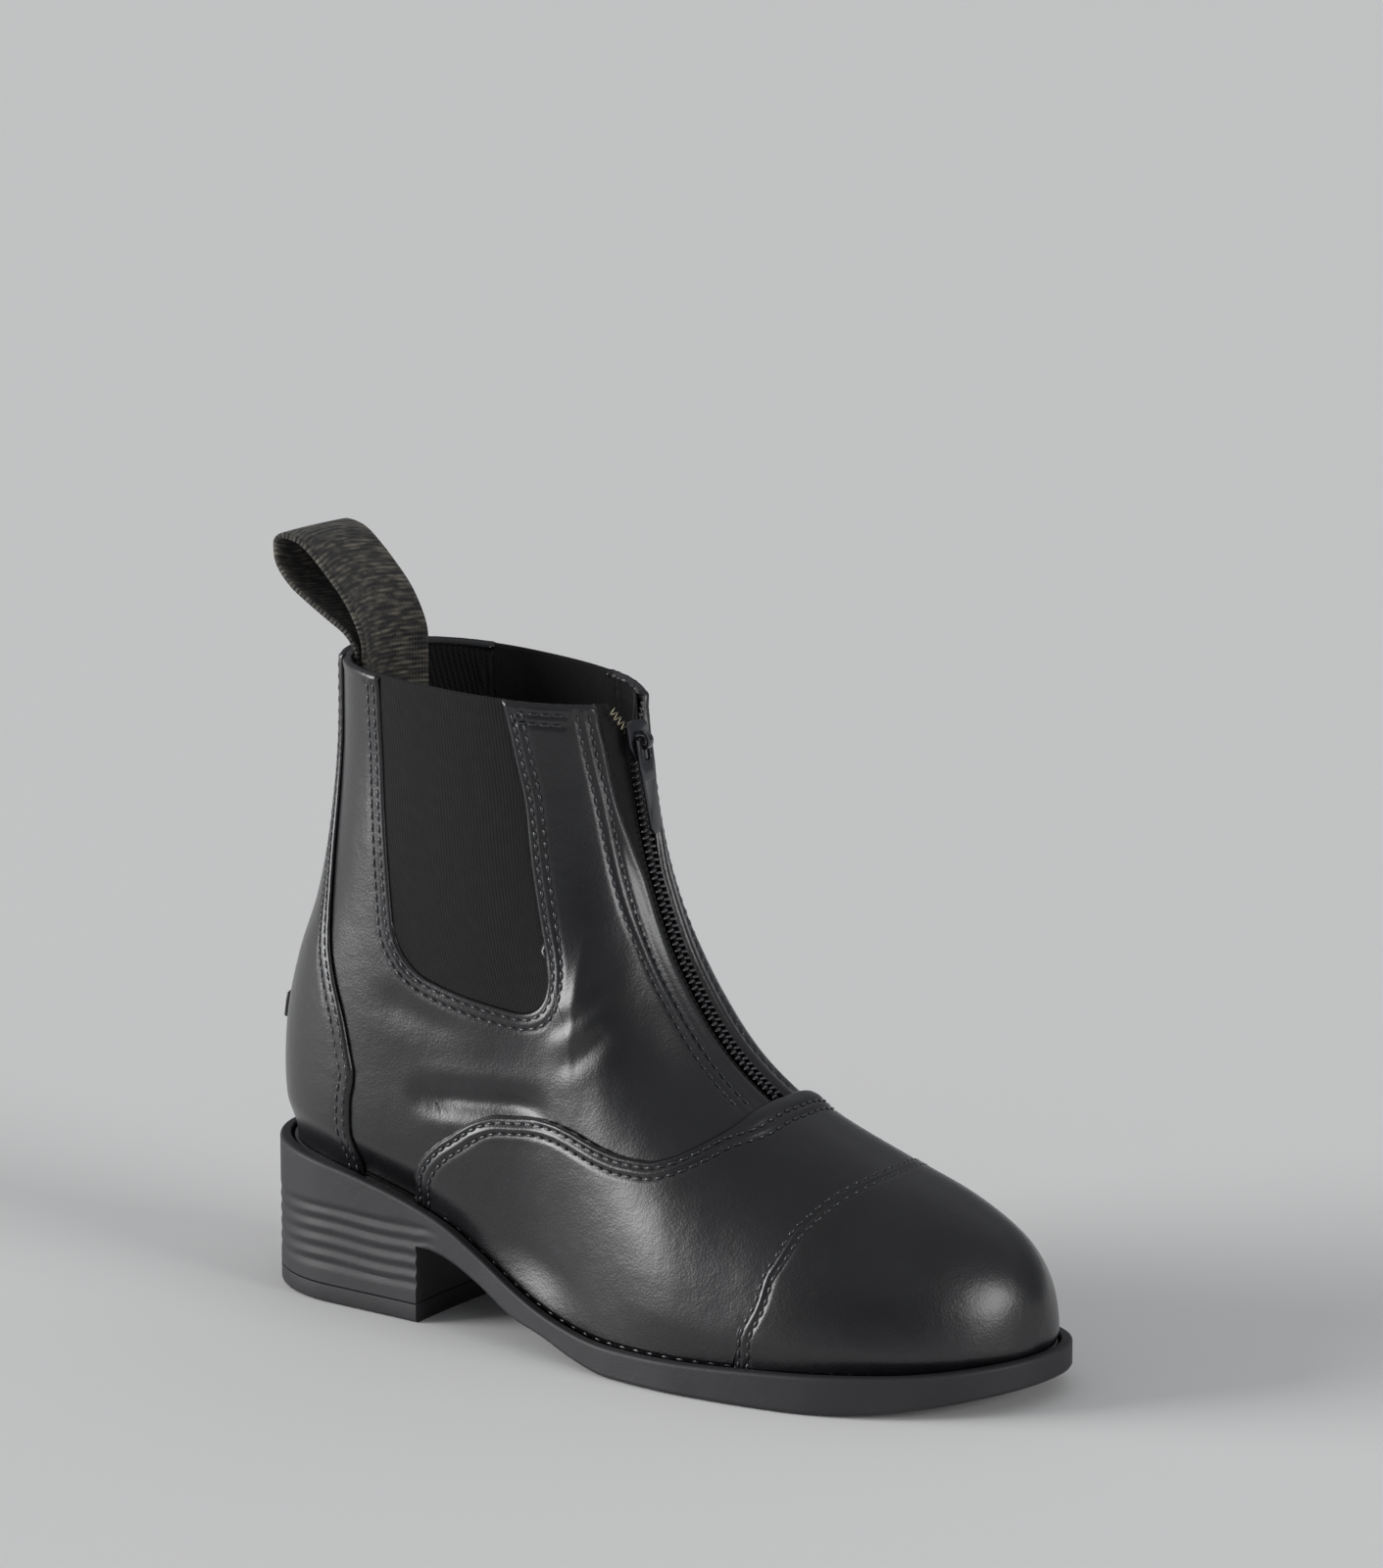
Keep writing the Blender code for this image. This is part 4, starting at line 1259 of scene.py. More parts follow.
@dataclass
class Quarters:
    """Quarters of the shaft, round the gores and up to the zip, with the collar's edge."""

    bench: Bench
    inner_row: Sequence[tuple[float, float]] = (
        (0.40, 0.0104),
        (0.44, 0.0100),
        (0.70, 0.0098),
        (0.83, 0.0103),
        (0.93, 0.0119),
        (1.00, 0.0128),
    )
    outer_row: Sequence[tuple[float, float]] = (
        (0.40, 0.0132),
        (0.44, 0.0128),
        (0.70, 0.0126),
        (0.83, 0.0130),
        (0.93, 0.0143),
        (1.00, 0.0152),
    )
    rows_above: int = 96
    rows_below: int = 72

    def build(self) -> None:
        """Makes both quarters."""
        for side in Side:
            self.quarter(side)

    def sided(self, side: Side, path: Array) -> Array:
        """Path on the asked side."""
        return path if side is Side.LATERAL else mirrored(path)

    def zip_line(self, half: Curve, low: float, high: float = 1.0) -> Array:
        """Line up the zip at a half width from the front ridge."""
        share = np.linspace(low, high, 260)
        return np.stack([self.bench.last.turn_at(share, -half(share)), share], axis=1)

    def gore_line(self) -> Array:
        """Outline of the gore: down its back, along its foot and up its front."""
        share = np.linspace(1.0, float(gore_foot(np.array(0.0))), 120)
        back = np.stack([gore_turn(share, 0.0), share], axis=1)
        s = (1 - np.cos(np.pi * np.linspace(0.0, 1.0, 200))) / 2
        foot = np.stack([gore_turn(gore_foot(s), s), gore_foot(s)], axis=1)
        share = np.linspace(float(gore_foot(np.array(1.0))), 1.0, 120)
        front = np.stack([gore_turn(share, 1.0), share], axis=1)
        return np.concatenate([back, foot[1:-1], front])

    def quarter(self, side: Side) -> None:
        """Makes one quarter.

        Args:
            side: Its side of the boot.
        """
        last = self.bench.last
        gore = Track(last, self.sided(side, self.gore_line()))
        line = self.gore_line()
        short = Track(last, self.sided(side, line[line[:, 1] < 0.985]))
        sewn = (short.beside(-0.0019), short.beside(-0.0045))
        edge = Track(last, self.sided(side, self.zip_line(ZIP_HALF, 0.37)))
        lines = [self.zip_line(Curve(rows), 0.405) for rows in (self.inner_row, self.outer_row)]
        zip_rows = [Track(last, self.sided(side, line[line[:, 1] < 0.985])) for line in lines]
        top = np.linspace(0.0, float(last.turn_at(np.array(1.0), np.array(-ZIP_HALF(1.0)))), 300)
        collar = Track(last, self.sided(side, np.stack([top, np.ones(300)], axis=1)))
        end = float(last.turn_at(np.array(1.0), np.array(-0.0158)))
        front = np.linspace(float(GORE_FRONT(1.0)) + 0.034, end, 120)
        front = np.stack([front, np.full(120, 0.9999)], axis=1)
        front = Track(last, self.sided(side, front))
        seams = (
            Seam(gore, sewn, roll=0.0007),
            Seam(edge, zip_rows, roll=0.0011, roll_width=0.0016, fold=0.0004, fold_width=0.0013),
            Seam(collar, (), roll=0.0009, roll_width=0.0014, fold=0.00035, fold_at=0.0018),
            Seam(None, (front.beside(-0.0030), front.beside(-0.0056))),
        )
        panel = Panel(self.bench, f"quarter_{side.name.lower()}", 0.0, WALL, seams)
        turn, share, keep = self.grid()
        if side is Side.MEDIAL:
            turn, share, keep = 2 - turn[:, ::-1], share[:, ::-1], keep[:, ::-1]
        panel.build(turn, share, ("upper",), keep)

    def grid(self) -> tuple[Array, Array, Array]:
        """Grid of the lateral quarter: its columns follow the counter, the gore's sides and the zip.

        Returns:
            Turns, shares, and the faces that stay.
        """
        parts = [
            (0, eased(6, 0.0, 0.0)),
            (1, eased(30, 0.2, 0.55)),
            (2, (1 - np.cos(np.pi * eased(40, 0.0, 0.0))) / 2),
            (3, eased(64, 0.5, 0.6)),
        ]
        step = np.concatenate([[0.0]] + [k + t[1:] for k, t in parts])
        low = eased(self.rows_below, 0.0, 0.6)
        high = eased(self.rows_above, 0.4, 0.6)
        foot = gore_foot(np.clip(step - 2, 0.0, 1.0))
        share = np.concatenate([low[:, None] * foot, lerp(foot, 1.0, high[1:, None])])
        share = np.minimum(share, 1.0)
        narrow = ZIP_HALF(share) * smooth((share - 0.34) / 0.04)
        wide = self.bench.last.turn_at(share, -narrow)
        knots = [np.zeros(share.shape), COUNTER_TURN(share) - 0.02]
        knots += [gore_turn(share, 0.0), gore_turn(share, 1.0), wide]
        whole = np.minimum(step.astype(int), 3)
        left = np.choose(whole, knots[:4])
        right = np.choose(whole, knots[1:])
        turn = lerp(left, right, step - whole)
        keep = np.ones((len(share) - 1, len(step) - 1), bool)
        middle = (step[1:] + step[:-1]) / 2
        keep[self.rows_below - 1 :, (middle > 2) & (middle < 3)] = False
        return turn, share, keep


@dataclass
class Overlays:
    """Counter with its backstrip, winged vamp, toe cap and spur rest over the quarters."""

    bench: Bench
    counter_face: float = 0.0014
    vamp_face: float = 0.0018
    cap_face: float = 0.0019
    lip: float = 0.0009

    def build(self) -> None:
        """Makes the four pieces."""
        self.counter()
        self.vamp()
        self.toe_cap()
        bm = self.bench.node_copy("spur_rest", 0.0005)
        self.bench.piece("spur_ledge", bm, [Look.LEATHER], Slot.LEATHER, ("spur_rest",))

    def counter(self) -> None:
        """Makes the counter, which narrows upwards into the backstrip."""
        last = self.bench.last
        share = np.linspace(0.0, 1.0, 400)
        line = np.stack([COUNTER_TURN(share), share], axis=1)
        seams = []
        for path in (line, mirrored(line)):
            edge = Track(last, path)
            seams.append(Seam(edge, (edge.beside(0.0016), edge.beside(0.0042))))
        top = np.linspace(-0.155, 0.155, 200)
        seams.append(Seam(Track(last, np.stack([top, np.ones(200)], axis=1)), (), roll=0.0008))
        panel = Panel(self.bench, "counter_backstrip", self.counter_face, 0.0014, seams)
        across = np.concatenate([eased(34, 0.55, 0.0)[:-1] - 1, eased(34, 0.0, 0.55)])
        up = eased(170, 0.0, 0.5)[:, None]
        share = up * np.ones(len(across))
        panel.build(COUNTER_TURN(share) * across, share, ("counter",))

    def edge_turns(self, places: Sequence[tuple[float, float]], step: float) -> Array:
        """Turns of the columns of a panel whose top edge runs from side to side.

        Args:
            places: Turn and share of points of its lateral half.
            step: Distance between the columns along the edge.

        Returns:
            The turns.
        """
        track = Track(self.bench.last, along(places))
        count = int(track.length / step)
        half = track.at(np.linspace(0.0, track.length, count))[:, 0]
        return np.concatenate([half, 2 - half[-2::-1]])

    def both_sides(self, places: Sequence[tuple[float, float]]) -> Array:
        """Line through places of the lateral half and on round the medial half."""
        half = along(places)
        return np.concatenate([half, mirrored(half)[1:]])

    def toe_cap(self) -> None:
        """Makes the toe cap."""
        last = self.bench.last
        edge = Track(last, self.both_sides(CAP_EDGE))
        seam = Seam(edge, (edge.beside(-0.0017), edge.beside(-0.0043)))
        panel = Panel(self.bench, "toe_cap_leather", self.cap_face, 0.0018, (seam,))
        turns = self.edge_turns(CAP_EDGE, 0.0009)
        high = Curve(CAP_EDGE)(np.minimum(turns, 2 - turns))
        up = eased(90, 0.0, 0.6)[:, None]
        share = lerp(0.002, np.maximum(0.004, high), up)
        panel.build(turns * np.ones(share.shape), share, ("toe_cap",))

    def vamp(self) -> None:
        """Makes the vamp, with its wings and the raised lip at the throat."""
        last = self.bench.last
        edge = Track(last, self.both_sides(VAMP_EDGE))
        middle = np.minimum(edge.path[::4, 0], 2 - edge.path[::4, 0])
        drop = 0.0019 + 0.0030 * smooth((middle - 0.78) / 0.1)
        rows = (edge.beside(-drop), edge.beside(-drop - 0.0028))
        panel = Panel(self.bench, "vamp_leather", self.vamp_face, 0.0018, (Seam(edge, rows),))
        panel.crown = self.throat_lip
        turns = self.edge_turns(VAMP_EDGE, 0.0009)
        half = np.minimum(turns, 2 - turns)
        low = np.where(half > CAP_EDGE[0][0], Curve(CAP_EDGE)(half) - 0.03, 0.002)
        low = np.maximum(0.002, low)
        high = np.maximum(low + 0.004, Curve(VAMP_EDGE)(half))
        up = eased(74, 0.0, 0.7)[:, None]
        share = lerp(low, high, up)
        panel.build(turns * np.ones(share.shape), share, ("vamp",))

    def throat_lip(self, turn: Array, share: Array) -> Array:
        """Height of the folded lip between the vamp's edge and its first stitch row at the throat."""
        half = np.minimum(turn, 2 - turn)
        below = Curve(VAMP_EDGE)(half) - share
        return self.lip * smooth((half - 0.79) / 0.1) * hump(below, 0.012, 0.012)


@dataclass
class Gores:
    """Elastic panels in the sides of the shaft."""

    bench: Bench
    depth: float = 0.0009
    overlap: float = 0.006

    def build(self) -> None:
        """Makes both gores."""
        for side in Side:
            self.gore(side)

    def gore(self, side: Side) -> None:
        """Makes one gore.

        Args:
            side: Its side of the boot.
        """
        s = ((1 - np.cos(np.pi * np.linspace(0.0, 1.0, 46))) / 2) * np.ones((72, 1))
        foot = gore_foot(s) - self.overlap
        share = lerp(foot, 0.9985, eased(72, 0.0, 0.0)[:, None])
        turn = gore_turn(share, s) + self.overlap * (2 * s - 1)
        if side is Side.MEDIAL:
            turn, share = 2 - turn[:, ::-1], share[:, ::-1]
        bm = laid(self.bench.last.offset(turn, share, -self.depth))
        name = f"gore_{side.name.lower()}"
        made = self.bench.piece(f"{name}_elastic", bm, [Look.ELASTIC], Slot.ELASTIC, (name,))
        walled(made, 0.0010)


@dataclass
class Zip:
    """Front zip: tapes behind the quarters, coil, slider and hanging pull tab."""

    bench: Bench
    tape_reach: float = 0.0108
    tape_inner: float = 0.0012
    open_half: float = 0.0066
    open_from: float = 0.932
    foot: float = 0.398
    pitch: float = 0.00175
    tooth_length: float = 0.0027
    tooth_thick: float = 0.00080
    wire_length: float = 0.0026
    wire_thick: float = 0.00040
    wire_pitch: float = 0.00085

    def build(self) -> None:
        """Makes tapes, coils, slider and tab."""
        for side in Side:
            self.tape(side)
            self.coil(side)
            self.coil_end(side)
        bm = self.bench.node_copy("zip_slider", 0.00022)
        self.bench.piece("slider_body", bm, [Look.METAL], Slot.METAL, ("zip_slider",))
        bm = self.bench.node_copy("zip_pull", 0.00025)
        plate = max(bm.faces, key=lambda face: face.calc_area() * (1.0 if face.normal.x > 0 else 0.5))
        bmesh.ops.inset_region(bm, faces=[plate], thickness=0.0005, depth=-0.0002, use_even_offset=True)
        self.bench.piece("pull_tab_plate", bm, [Look.METAL], Slot.METAL, ("zip_pull",), Body.PULL_TAB)

    def inner(self, share: Array) -> Array:
        """Half width between the tapes' inner edges, wider above the slider."""
        gone = smooth((share - self.open_from) / (1 - self.open_from))
        return lerp(self.tape_inner, self.open_half, gone)

    def line(self, side: Side, across: Array, share: Array) -> Array:
        """Turns a distance to one side of the front ridge."""
        return self.bench.last.turn_at(share, side.value * across)

    def tape(self, side: Side) -> None:
        """Makes one tape, whose inner edge rises to carry the coil.

        Args:
            side: Its side of the boot.
        """
        t = eased(22, 0.3, 0.0)[None, :]
        share = np.linspace(self.foot, 0.997, 170)[:, None] * np.ones(t.shape)
        reach = np.maximum(self.tape_reach, ZIP_HALF(share) + 0.0022)
        turn = self.line(side, lerp(self.inner(share), reach, t), share)
        depth = lerp(-0.0018, -WALL - 0.0003, smooth(t / 0.45))
        if side is Side.LATERAL:
            turn, depth = turn[:, ::-1], depth[:, ::-1]
        bm = laid(self.bench.last.offset(turn, share, depth))
        name = f"tape_{side.name.lower()}"
        made = self.bench.piece(f"zip_{name}", bm, [Look.TAPE], Slot.TAPE, (name,))
        walled(made, 0.0006)

    def coil(self, side: Side) -> None:
        """Makes the coil of one side, whose turns fall between those of the other side.

        Args:
            side: Its side of the boot.
        """
        last = self.bench.last
        share = np.linspace(self.foot + 0.012, self.open_from, 500)
        middle = self.inner(share) - self.tape_inner + self.tooth_length * 0.46
        track = Track(last, np.stack([self.line(side, middle, share), share], axis=1))
        shift = 0.25 if side is Side.LATERAL else 0.75
        count = int(track.length / self.pitch)
        place = track.at((np.arange(count) + shift) * self.pitch)
        out = last.normal(place[:, 0], place[:, 1])
        centre = last.offset(place[:, 0], place[:, 1], -0.0003)
        ahead = np.gradient(centre, axis=0)
        across = np.cross(out, ahead)
        across /= np.linalg.norm(across, axis=1, keepdims=True)
        ahead /= np.linalg.norm(ahead, axis=1, keepdims=True)
        tilted = across + ahead * 0.10 * side.value
        gauge = Gauge(self.pitch, self.tooth_length, self.tooth_thick, 0.0)
        bm = thread_row(centre, tilted, out, gauge)
        name = f"coil_{side.name.lower()}"
        stands_for = ("zip_chain",) if side is Side.LATERAL else ()
        self.bench.piece(name, bm, [Look.COIL], Slot.TEETH, stands_for)

    def coil_end(self, side: Side) -> None:
        """Makes the open end of a coil above the slider, its wires fanned on the tape's curled edge.

        Args:
            side: Its side of the boot.
        """
        last = self.bench.last
        share = np.linspace(self.open_from + 0.006, 0.990, 200)
        middle = self.inner(share) + 0.0006
        track = Track(last, np.stack([self.line(side, middle, share), share], axis=1))
        count = int(track.length / self.wire_pitch)
        place = track.at((np.arange(count) + 0.5) * self.wire_pitch)
        out = last.normal(place[:, 0], place[:, 1])
        centre = last.offset(place[:, 0], place[:, 1], -0.0004)
        ahead = np.gradient(centre, axis=0)
        ahead /= np.linalg.norm(ahead, axis=1, keepdims=True)
        across = np.cross(out, ahead)
        across /= np.linalg.norm(across, axis=1, keepdims=True)
        lean = np.where(np.arange(count) % 2, 0.45, -0.20)[:, None]
        gauge = Gauge(self.pitch, self.wire_length, self.wire_thick, 0.0)
        bm = thread_row(centre, across + ahead * lean, out, gauge)
        look = Look.BRASS if side is Side.LATERAL else Look.COIL
        self.bench.piece(f"coil_end_{side.name.lower()}", bm, [look], Slot.TEETH)


@dataclass
class PullLoop:
    """Webbing loop at the back of the collar, and the patch that it is sewn to."""

    bench: Bench
    rows: int = 170
    columns: int = 26

    def build(self) -> None:
        """Makes the loop and the patch."""
        self.loop()
        self.patch()

    def loop(self) -> None:
        """Makes the loop, cupped round the leg below and flat at its top."""
        line = np.array(LOOP_LINE)
        run = np.concatenate([[0.0], np.hypot(*np.diff(line, axis=0).T).cumsum()])
        at = np.linspace(0.0, run[-1], self.rows)
        dx, dz = (Curve(list(zip(run, line[:, k])))(at) for k in (0, 1))
        x = float(self.bench.last.back.x(1.0)) + dx * LOOP_HEIGHT
        z = BOOT_HEIGHT + dz * LOOP_HEIGHT
        y = np.linspace(-WEBBING_WIDTH / 2, WEBBING_WIDTH / 2, self.columns)
        fade = 1 - 0.85 * smooth((z - BOOT_HEIGHT) / (0.85 * LOOP_HEIGHT))
        bend = WEBBING_BEND * fade[:, None] * (2 * y / WEBBING_WIDTH) ** 2
        points = np.stack(np.broadcast_arrays(x[:, None] + bend, y[None, :], z[:, None]), axis=2)
        bm = laid(placed(points)[:, ::-1])
        made = self.bench.piece("pull_loop_webbing", bm, [Look.WEBBING], Slot.WEBBING, ("pull_loop",))
        walled(made, WEBBING_THICK).modifiers["wall"].offset = 0.0
        made.modifiers["wall"].use_rim = True

    def patch(self) -> None:
        """Makes the textile patch inside the back of the collar."""
        last = self.bench.last
        turn = np.linspace(-0.155, 0.155, 40)[None, :]
        share = np.linspace(0.90, 0.993, 24)[:, None]
        turn, share = np.broadcast_arrays(turn, share)
        depth = -WALL - 0.0004
        points = last.offset(turn, share, depth)[:, ::-1]
        made = self.bench.piece("collar_patch", laid(points), [Look.PATCH], Slot.WEBBING)
        walled(made, -0.0006)


@dataclass
class Sole:
    """Outsole with its heel block, top lift, sewn welt and insole."""

    bench: Bench
    heel_steps: int = 26
    front_steps: int = 150
    inner_steps: int = 18
    foot_edge: float = 0.0012
    rim_edge: float = 0.0009
    breast_hollow: float = 0.0012
    tread_pitch: float = 0.0058
    tread_depth: float = 0.0007
    welt_stitch_inset: float = 0.0042

    def build(self) -> None:
        """Makes the pieces of the sole."""
        self.outsole()
        self.top_lift()
        self.welt()
        self.welt_stitches()
        insole = self.bench.frame["nodes"]["insole"]
        insole.data.materials.clear()
        insole.data.materials.append(self.bench.material(Look.INSOLE))

    def places(self) -> tuple[Array, Array]:
        """x of the outline's columns behind and ahead of the breast."""
        heel = HEEL_LENGTH * (1 - np.cos(np.pi / 2 * np.linspace(0.0, 1.0, self.heel_steps)))
        front = np.sin(np.pi / 2 * np.linspace(0.0, 1.0, self.front_steps))
        return heel, HEEL_LENGTH + (SOLE_LENGTH - HEEL_LENGTH) * front

    def edge(self, x: Array, side: float, inset: Array) -> tuple[Array, Array]:
        """x and y of the outline drawn in by inset, the breast left where it is."""
        behind = inset + x * (HEEL_LENGTH - inset) / HEEL_LENGTH
        reach = SOLE_LENGTH - HEEL_LENGTH
        ahead = HEEL_LENGTH + (x - HEEL_LENGTH) * (reach - inset) / reach
        moved = np.where(x <= HEEL_LENGTH, behind, ahead)
        last = self.bench.last
        return moved, last.swing(moved) + side * last.sole_half(moved, side, inset)

    def ribs(self, x: Array, z: Array) -> Array:
        """Depth of the soft ribs round the heel, strongest by the breast."""
        band = smooth((z - RIB_LOW) / RIB_FADE) * (1 - smooth((z - RIB_HIGH) / RIB_FADE))
        wavy = z + 0.0004 * np.sin(x * 160)
        wave = 0.5 - 0.5 * np.cos(2 * np.pi * (wavy - RIB_LOW) / RIB_PITCH)
        gone = smooth(x / 0.030) * (1 - smooth((x - HEEL_LENGTH) / 0.006))
        return RIB_DEPTH * 1.2 * band * wave * lerp(0.25, 1.0, gone) * (x <= HEEL_LENGTH + 0.006)

    def side_rows(self, x: Array) -> list[tuple[Array, Array]]:
        """Insets and heights of the side wall's rows at x, from the underside to under the welt."""
        last = self.bench.last
        low, top = last.sole_under(x / SOLE_LENGTH), last.rim_top(x)
        ramp = self.foot_edge * smooth((x - HEEL_LENGTH) / 0.004)
        none = np.zeros(x.shape)
        rows = [(ramp, low), (ramp * 0.35, low + ramp * 0.3), (none, low + ramp * 0.85 + 1e-4)]
        start, end = low + ramp * 0.85 + 1e-4, top - self.rim_edge
        rows += [(none, lerp(start, end, t)) for t in np.linspace(0.0, 1.0, 26)[1:]]
        rows = [(inset + self.ribs(x, z), z) for inset, z in rows]
        for t in (0.2, 0.45, 0.7, 0.88, 1.0):
            turn = math.pi / 2 * t
            inset = self.rim_edge * (1 - math.cos(turn))
            rows.append((none + inset, top - self.rim_edge * (1 - math.sin(turn))))
        rows.append((none + RIM_WIDTH - 0.0003, top))
        rows.append((none + RIM_WIDTH, top - 0.0003))
        rows.append((none + RIM_WIDTH, top - WELT_FLOOR))
        return rows

    def wall(self, x: Array, rows: Sequence[tuple[Array, Array]]) -> Array:
        """Points of a wall round the outline, lateral side first.

        Args:
            x: x of the columns of one side.
            rows: Insets and heights at x.

        Returns:
            The points, by row and column.
        """
        points = []
        for inset, z in rows:
            sides = [np.stack([*self.edge(x, side, inset), z], axis=1) for side in (-1.0, 1.0)]
            points.append(np.concatenate([sides[0], sides[1][-2::-1]]))
        return np.array(points)

    def filled(self, x: Array, inset: Array, z: Array) -> Array:
        """Points of a face that spans the outline, with its rows from side to side."""
        sides = [np.stack([*self.edge(x, side, inset), z], axis=1) for side in (-1.0, 1.0)]
        across = np.linspace(0.0, 1.0, self.inner_steps)[:, None, None]
        return lerp(sides[0], sides[1], across)

    def hollowed(self, points: Array) -> Array:
        """Draws a face's points near the breast back into its hollow."""
        share = np.linspace(-1.0, 1.0, self.inner_steps)[:, None]
        near = 1 - smooth(np.abs(points[..., 0] - HEEL_LENGTH) / 0.006)
        points[..., 0] -= self.breast_hollow * (1 - share**2) * near
        return points

    def heel_wall(self, rows: Sequence[tuple[float, Array]]) -> Array:
        """Points of the wall round the heel, from breast to breast."""
        x = self.places()[0]
        points = []
        for inset, z in rows:
            inset, z = np.broadcast_to(inset, x.shape), np.broadcast_to(z, x.shape)
            sides = [np.stack([*self.edge(x, side, inset), z], axis=1) for side in (-1.0, 1.0)]
            points.append(np.concatenate([sides[1][::-1], sides[0][1:]]))
        return np.array(points)

    def breast(self, wall: Array) -> Array:
        """Points of the hollow face between the two ends of a heel wall."""
        across = np.linspace(0.0, 1.0, self.inner_steps)[:, None, None]
        return self.hollowed(lerp(wall[:, -1], wall[:, 0], across))

    def outsole(self) -> None:
        """Makes the outsole: side wall, heel block, underside with its tread, and seat."""
        last = self.bench.last
        heel, front = self.places()
        x = np.concatenate([heel, front[1:]])
        rows = self.side_rows(x)
        bm = laid(placed(self.wall(x, rows)))
        laid(placed(self.filled(x, *rows[-1])), bm=bm)
        low = last.sole_under(heel / SOLE_LENGTH)
        lift = TOP_LIFT + 0.0003
        block = []
        for t in np.linspace(0.0, 1.0, 24):
            z = lerp(lift, low, t)
            block.append((self.ribs(heel, z), z))
        wall = self.heel_wall(block)
        laid(placed(wall), bm=bm)
        laid(placed(self.breast(wall)), bm=bm)
        laid(placed(self.hollowed(self.filled(heel, *block[0]))), bm=bm)
        base = last.sole_under(front / SOLE_LENGTH)
        under = self.filled(front, rows[0][0][len(heel) - 1 :], base)
        inside = 1 - np.abs(np.linspace(-1.0, 1.0, self.inner_steps))[:, None] ** 6
        wave = 0.5 - 0.5 * np.cos(2 * np.pi * front / self.tread_pitch)
        ahead = smooth((front - 0.095) / 0.01) * smooth((SOLE_LENGTH - 0.004 - front) / 0.01)
        under[..., 2] += self.tread_depth * wave * ahead * inside
        laid(placed(self.hollowed(under)), bm=bm)
        self.bench.piece("rubber_outsole", closed(bm), [Look.RUBBER], Slot.SOLE, ("outsole",), sharp=38.0)

    def top_lift(self) -> None:
        """Makes the top lift under the heel, its edges broken."""
        rows = [(0.0009, 0.0), (0.0004, 0.0002), (0.0001, 0.0006), (0.0, 0.0010), (0.0, TOP_LIFT - 0.0005)]
        rows += [(0.0001, TOP_LIFT - 0.0002), (0.0005, TOP_LIFT)]
        wall = self.heel_wall(rows)
        bm = laid(placed(wall))
        laid(placed(self.breast(wall)), bm=bm)
        x = self.places()[0]
        for inset, z in (rows[0], rows[-1]):
            face = self.filled(x, np.full(x.shape, inset), np.full(x.shape, z))
            laid(placed(self.hollowed(face)), bm=bm)
        self.bench.piece("rubber_top_lift", closed(bm), [Look.LIFT], Slot.LIFT, ("top_lift",), sharp=38.0)

    def welt(self) -> None:
        """Makes the welt, crowned between the rim and the upper."""
        heel, front = self.places()
        x = np.concatenate([heel, front[1:]])
        top = self.bench.last.rim_top(x)
        none = np.zeros(x.shape)
        outer, inner = RIM_WIDTH + 0.0002, RIM_WIDTH + WELT_WIDTH
        rows = [(none + inner, top - WELT_FLOOR + 0.0005), (none + outer, top - WELT_FLOOR + 0.0005)]
        rows.append((none + outer, top - WELT_DROP - 0.0006))
        for t in np.linspace(0.0, 1.0, 14):
            rise = 0.0013 * math.sin(math.pi * min(1.0, t * 1.4)) ** 0.5
            dip = 0.0005 * math.exp(-(((t - 0.26) / 0.09) ** 2))
            rows.append((none + lerp(outer + 0.0002, inner, t), top - WELT_DROP - 0.0002 + rise - dip))
        rows.append(rows[0])
        bm = laid(placed(self.wall(x, rows)))
        self.bench.piece("sewn_welt", closed(bm), [Look.WELT], Slot.WELT, ("welt",))

    def welt_stitches(self) -> None:
        """Lays the row of bold stitches round the forepart's welt."""
        gauge = Gauge(pitch=0.0046, length=0.0038, thick=0.0013, proud=0.0003)
        x = np.concatenate([
            np.linspace(0.066, 0.20, 300),
            0.20 + 0.0325 * np.sin(np.linspace(0.01, 1.5708, 200)),
        ])
        rows = self.wall(x, [(np.full(x.shape, self.welt_stitch_inset), self.bench.last.rim_top(x))])[0]
        run = np.concatenate([[0.0], np.linalg.norm(np.diff(rows, axis=0), axis=1).cumsum()])
        count = int(run[-1] / gauge.pitch)
        at = (np.arange(count) + 0.5) * run[-1] / count
        middle = np.stack([np.interp(at, run, rows[:, k]) for k in range(3)], axis=1)
        after = np.stack([np.interp(at + 0.001, run, rows[:, k]) for k in range(3)], axis=1)
        middle[:, 2] -= 0.0003
        after[:, 2] -= 0.0003
        out = np.tile([0.0, 0.0, 1.0], (count, 1))
        bm = thread_row(placed(middle), after - middle, out, gauge)
        self.bench.piece("welt_stitches", bm, [Look.THREAD], Slot.WELT)


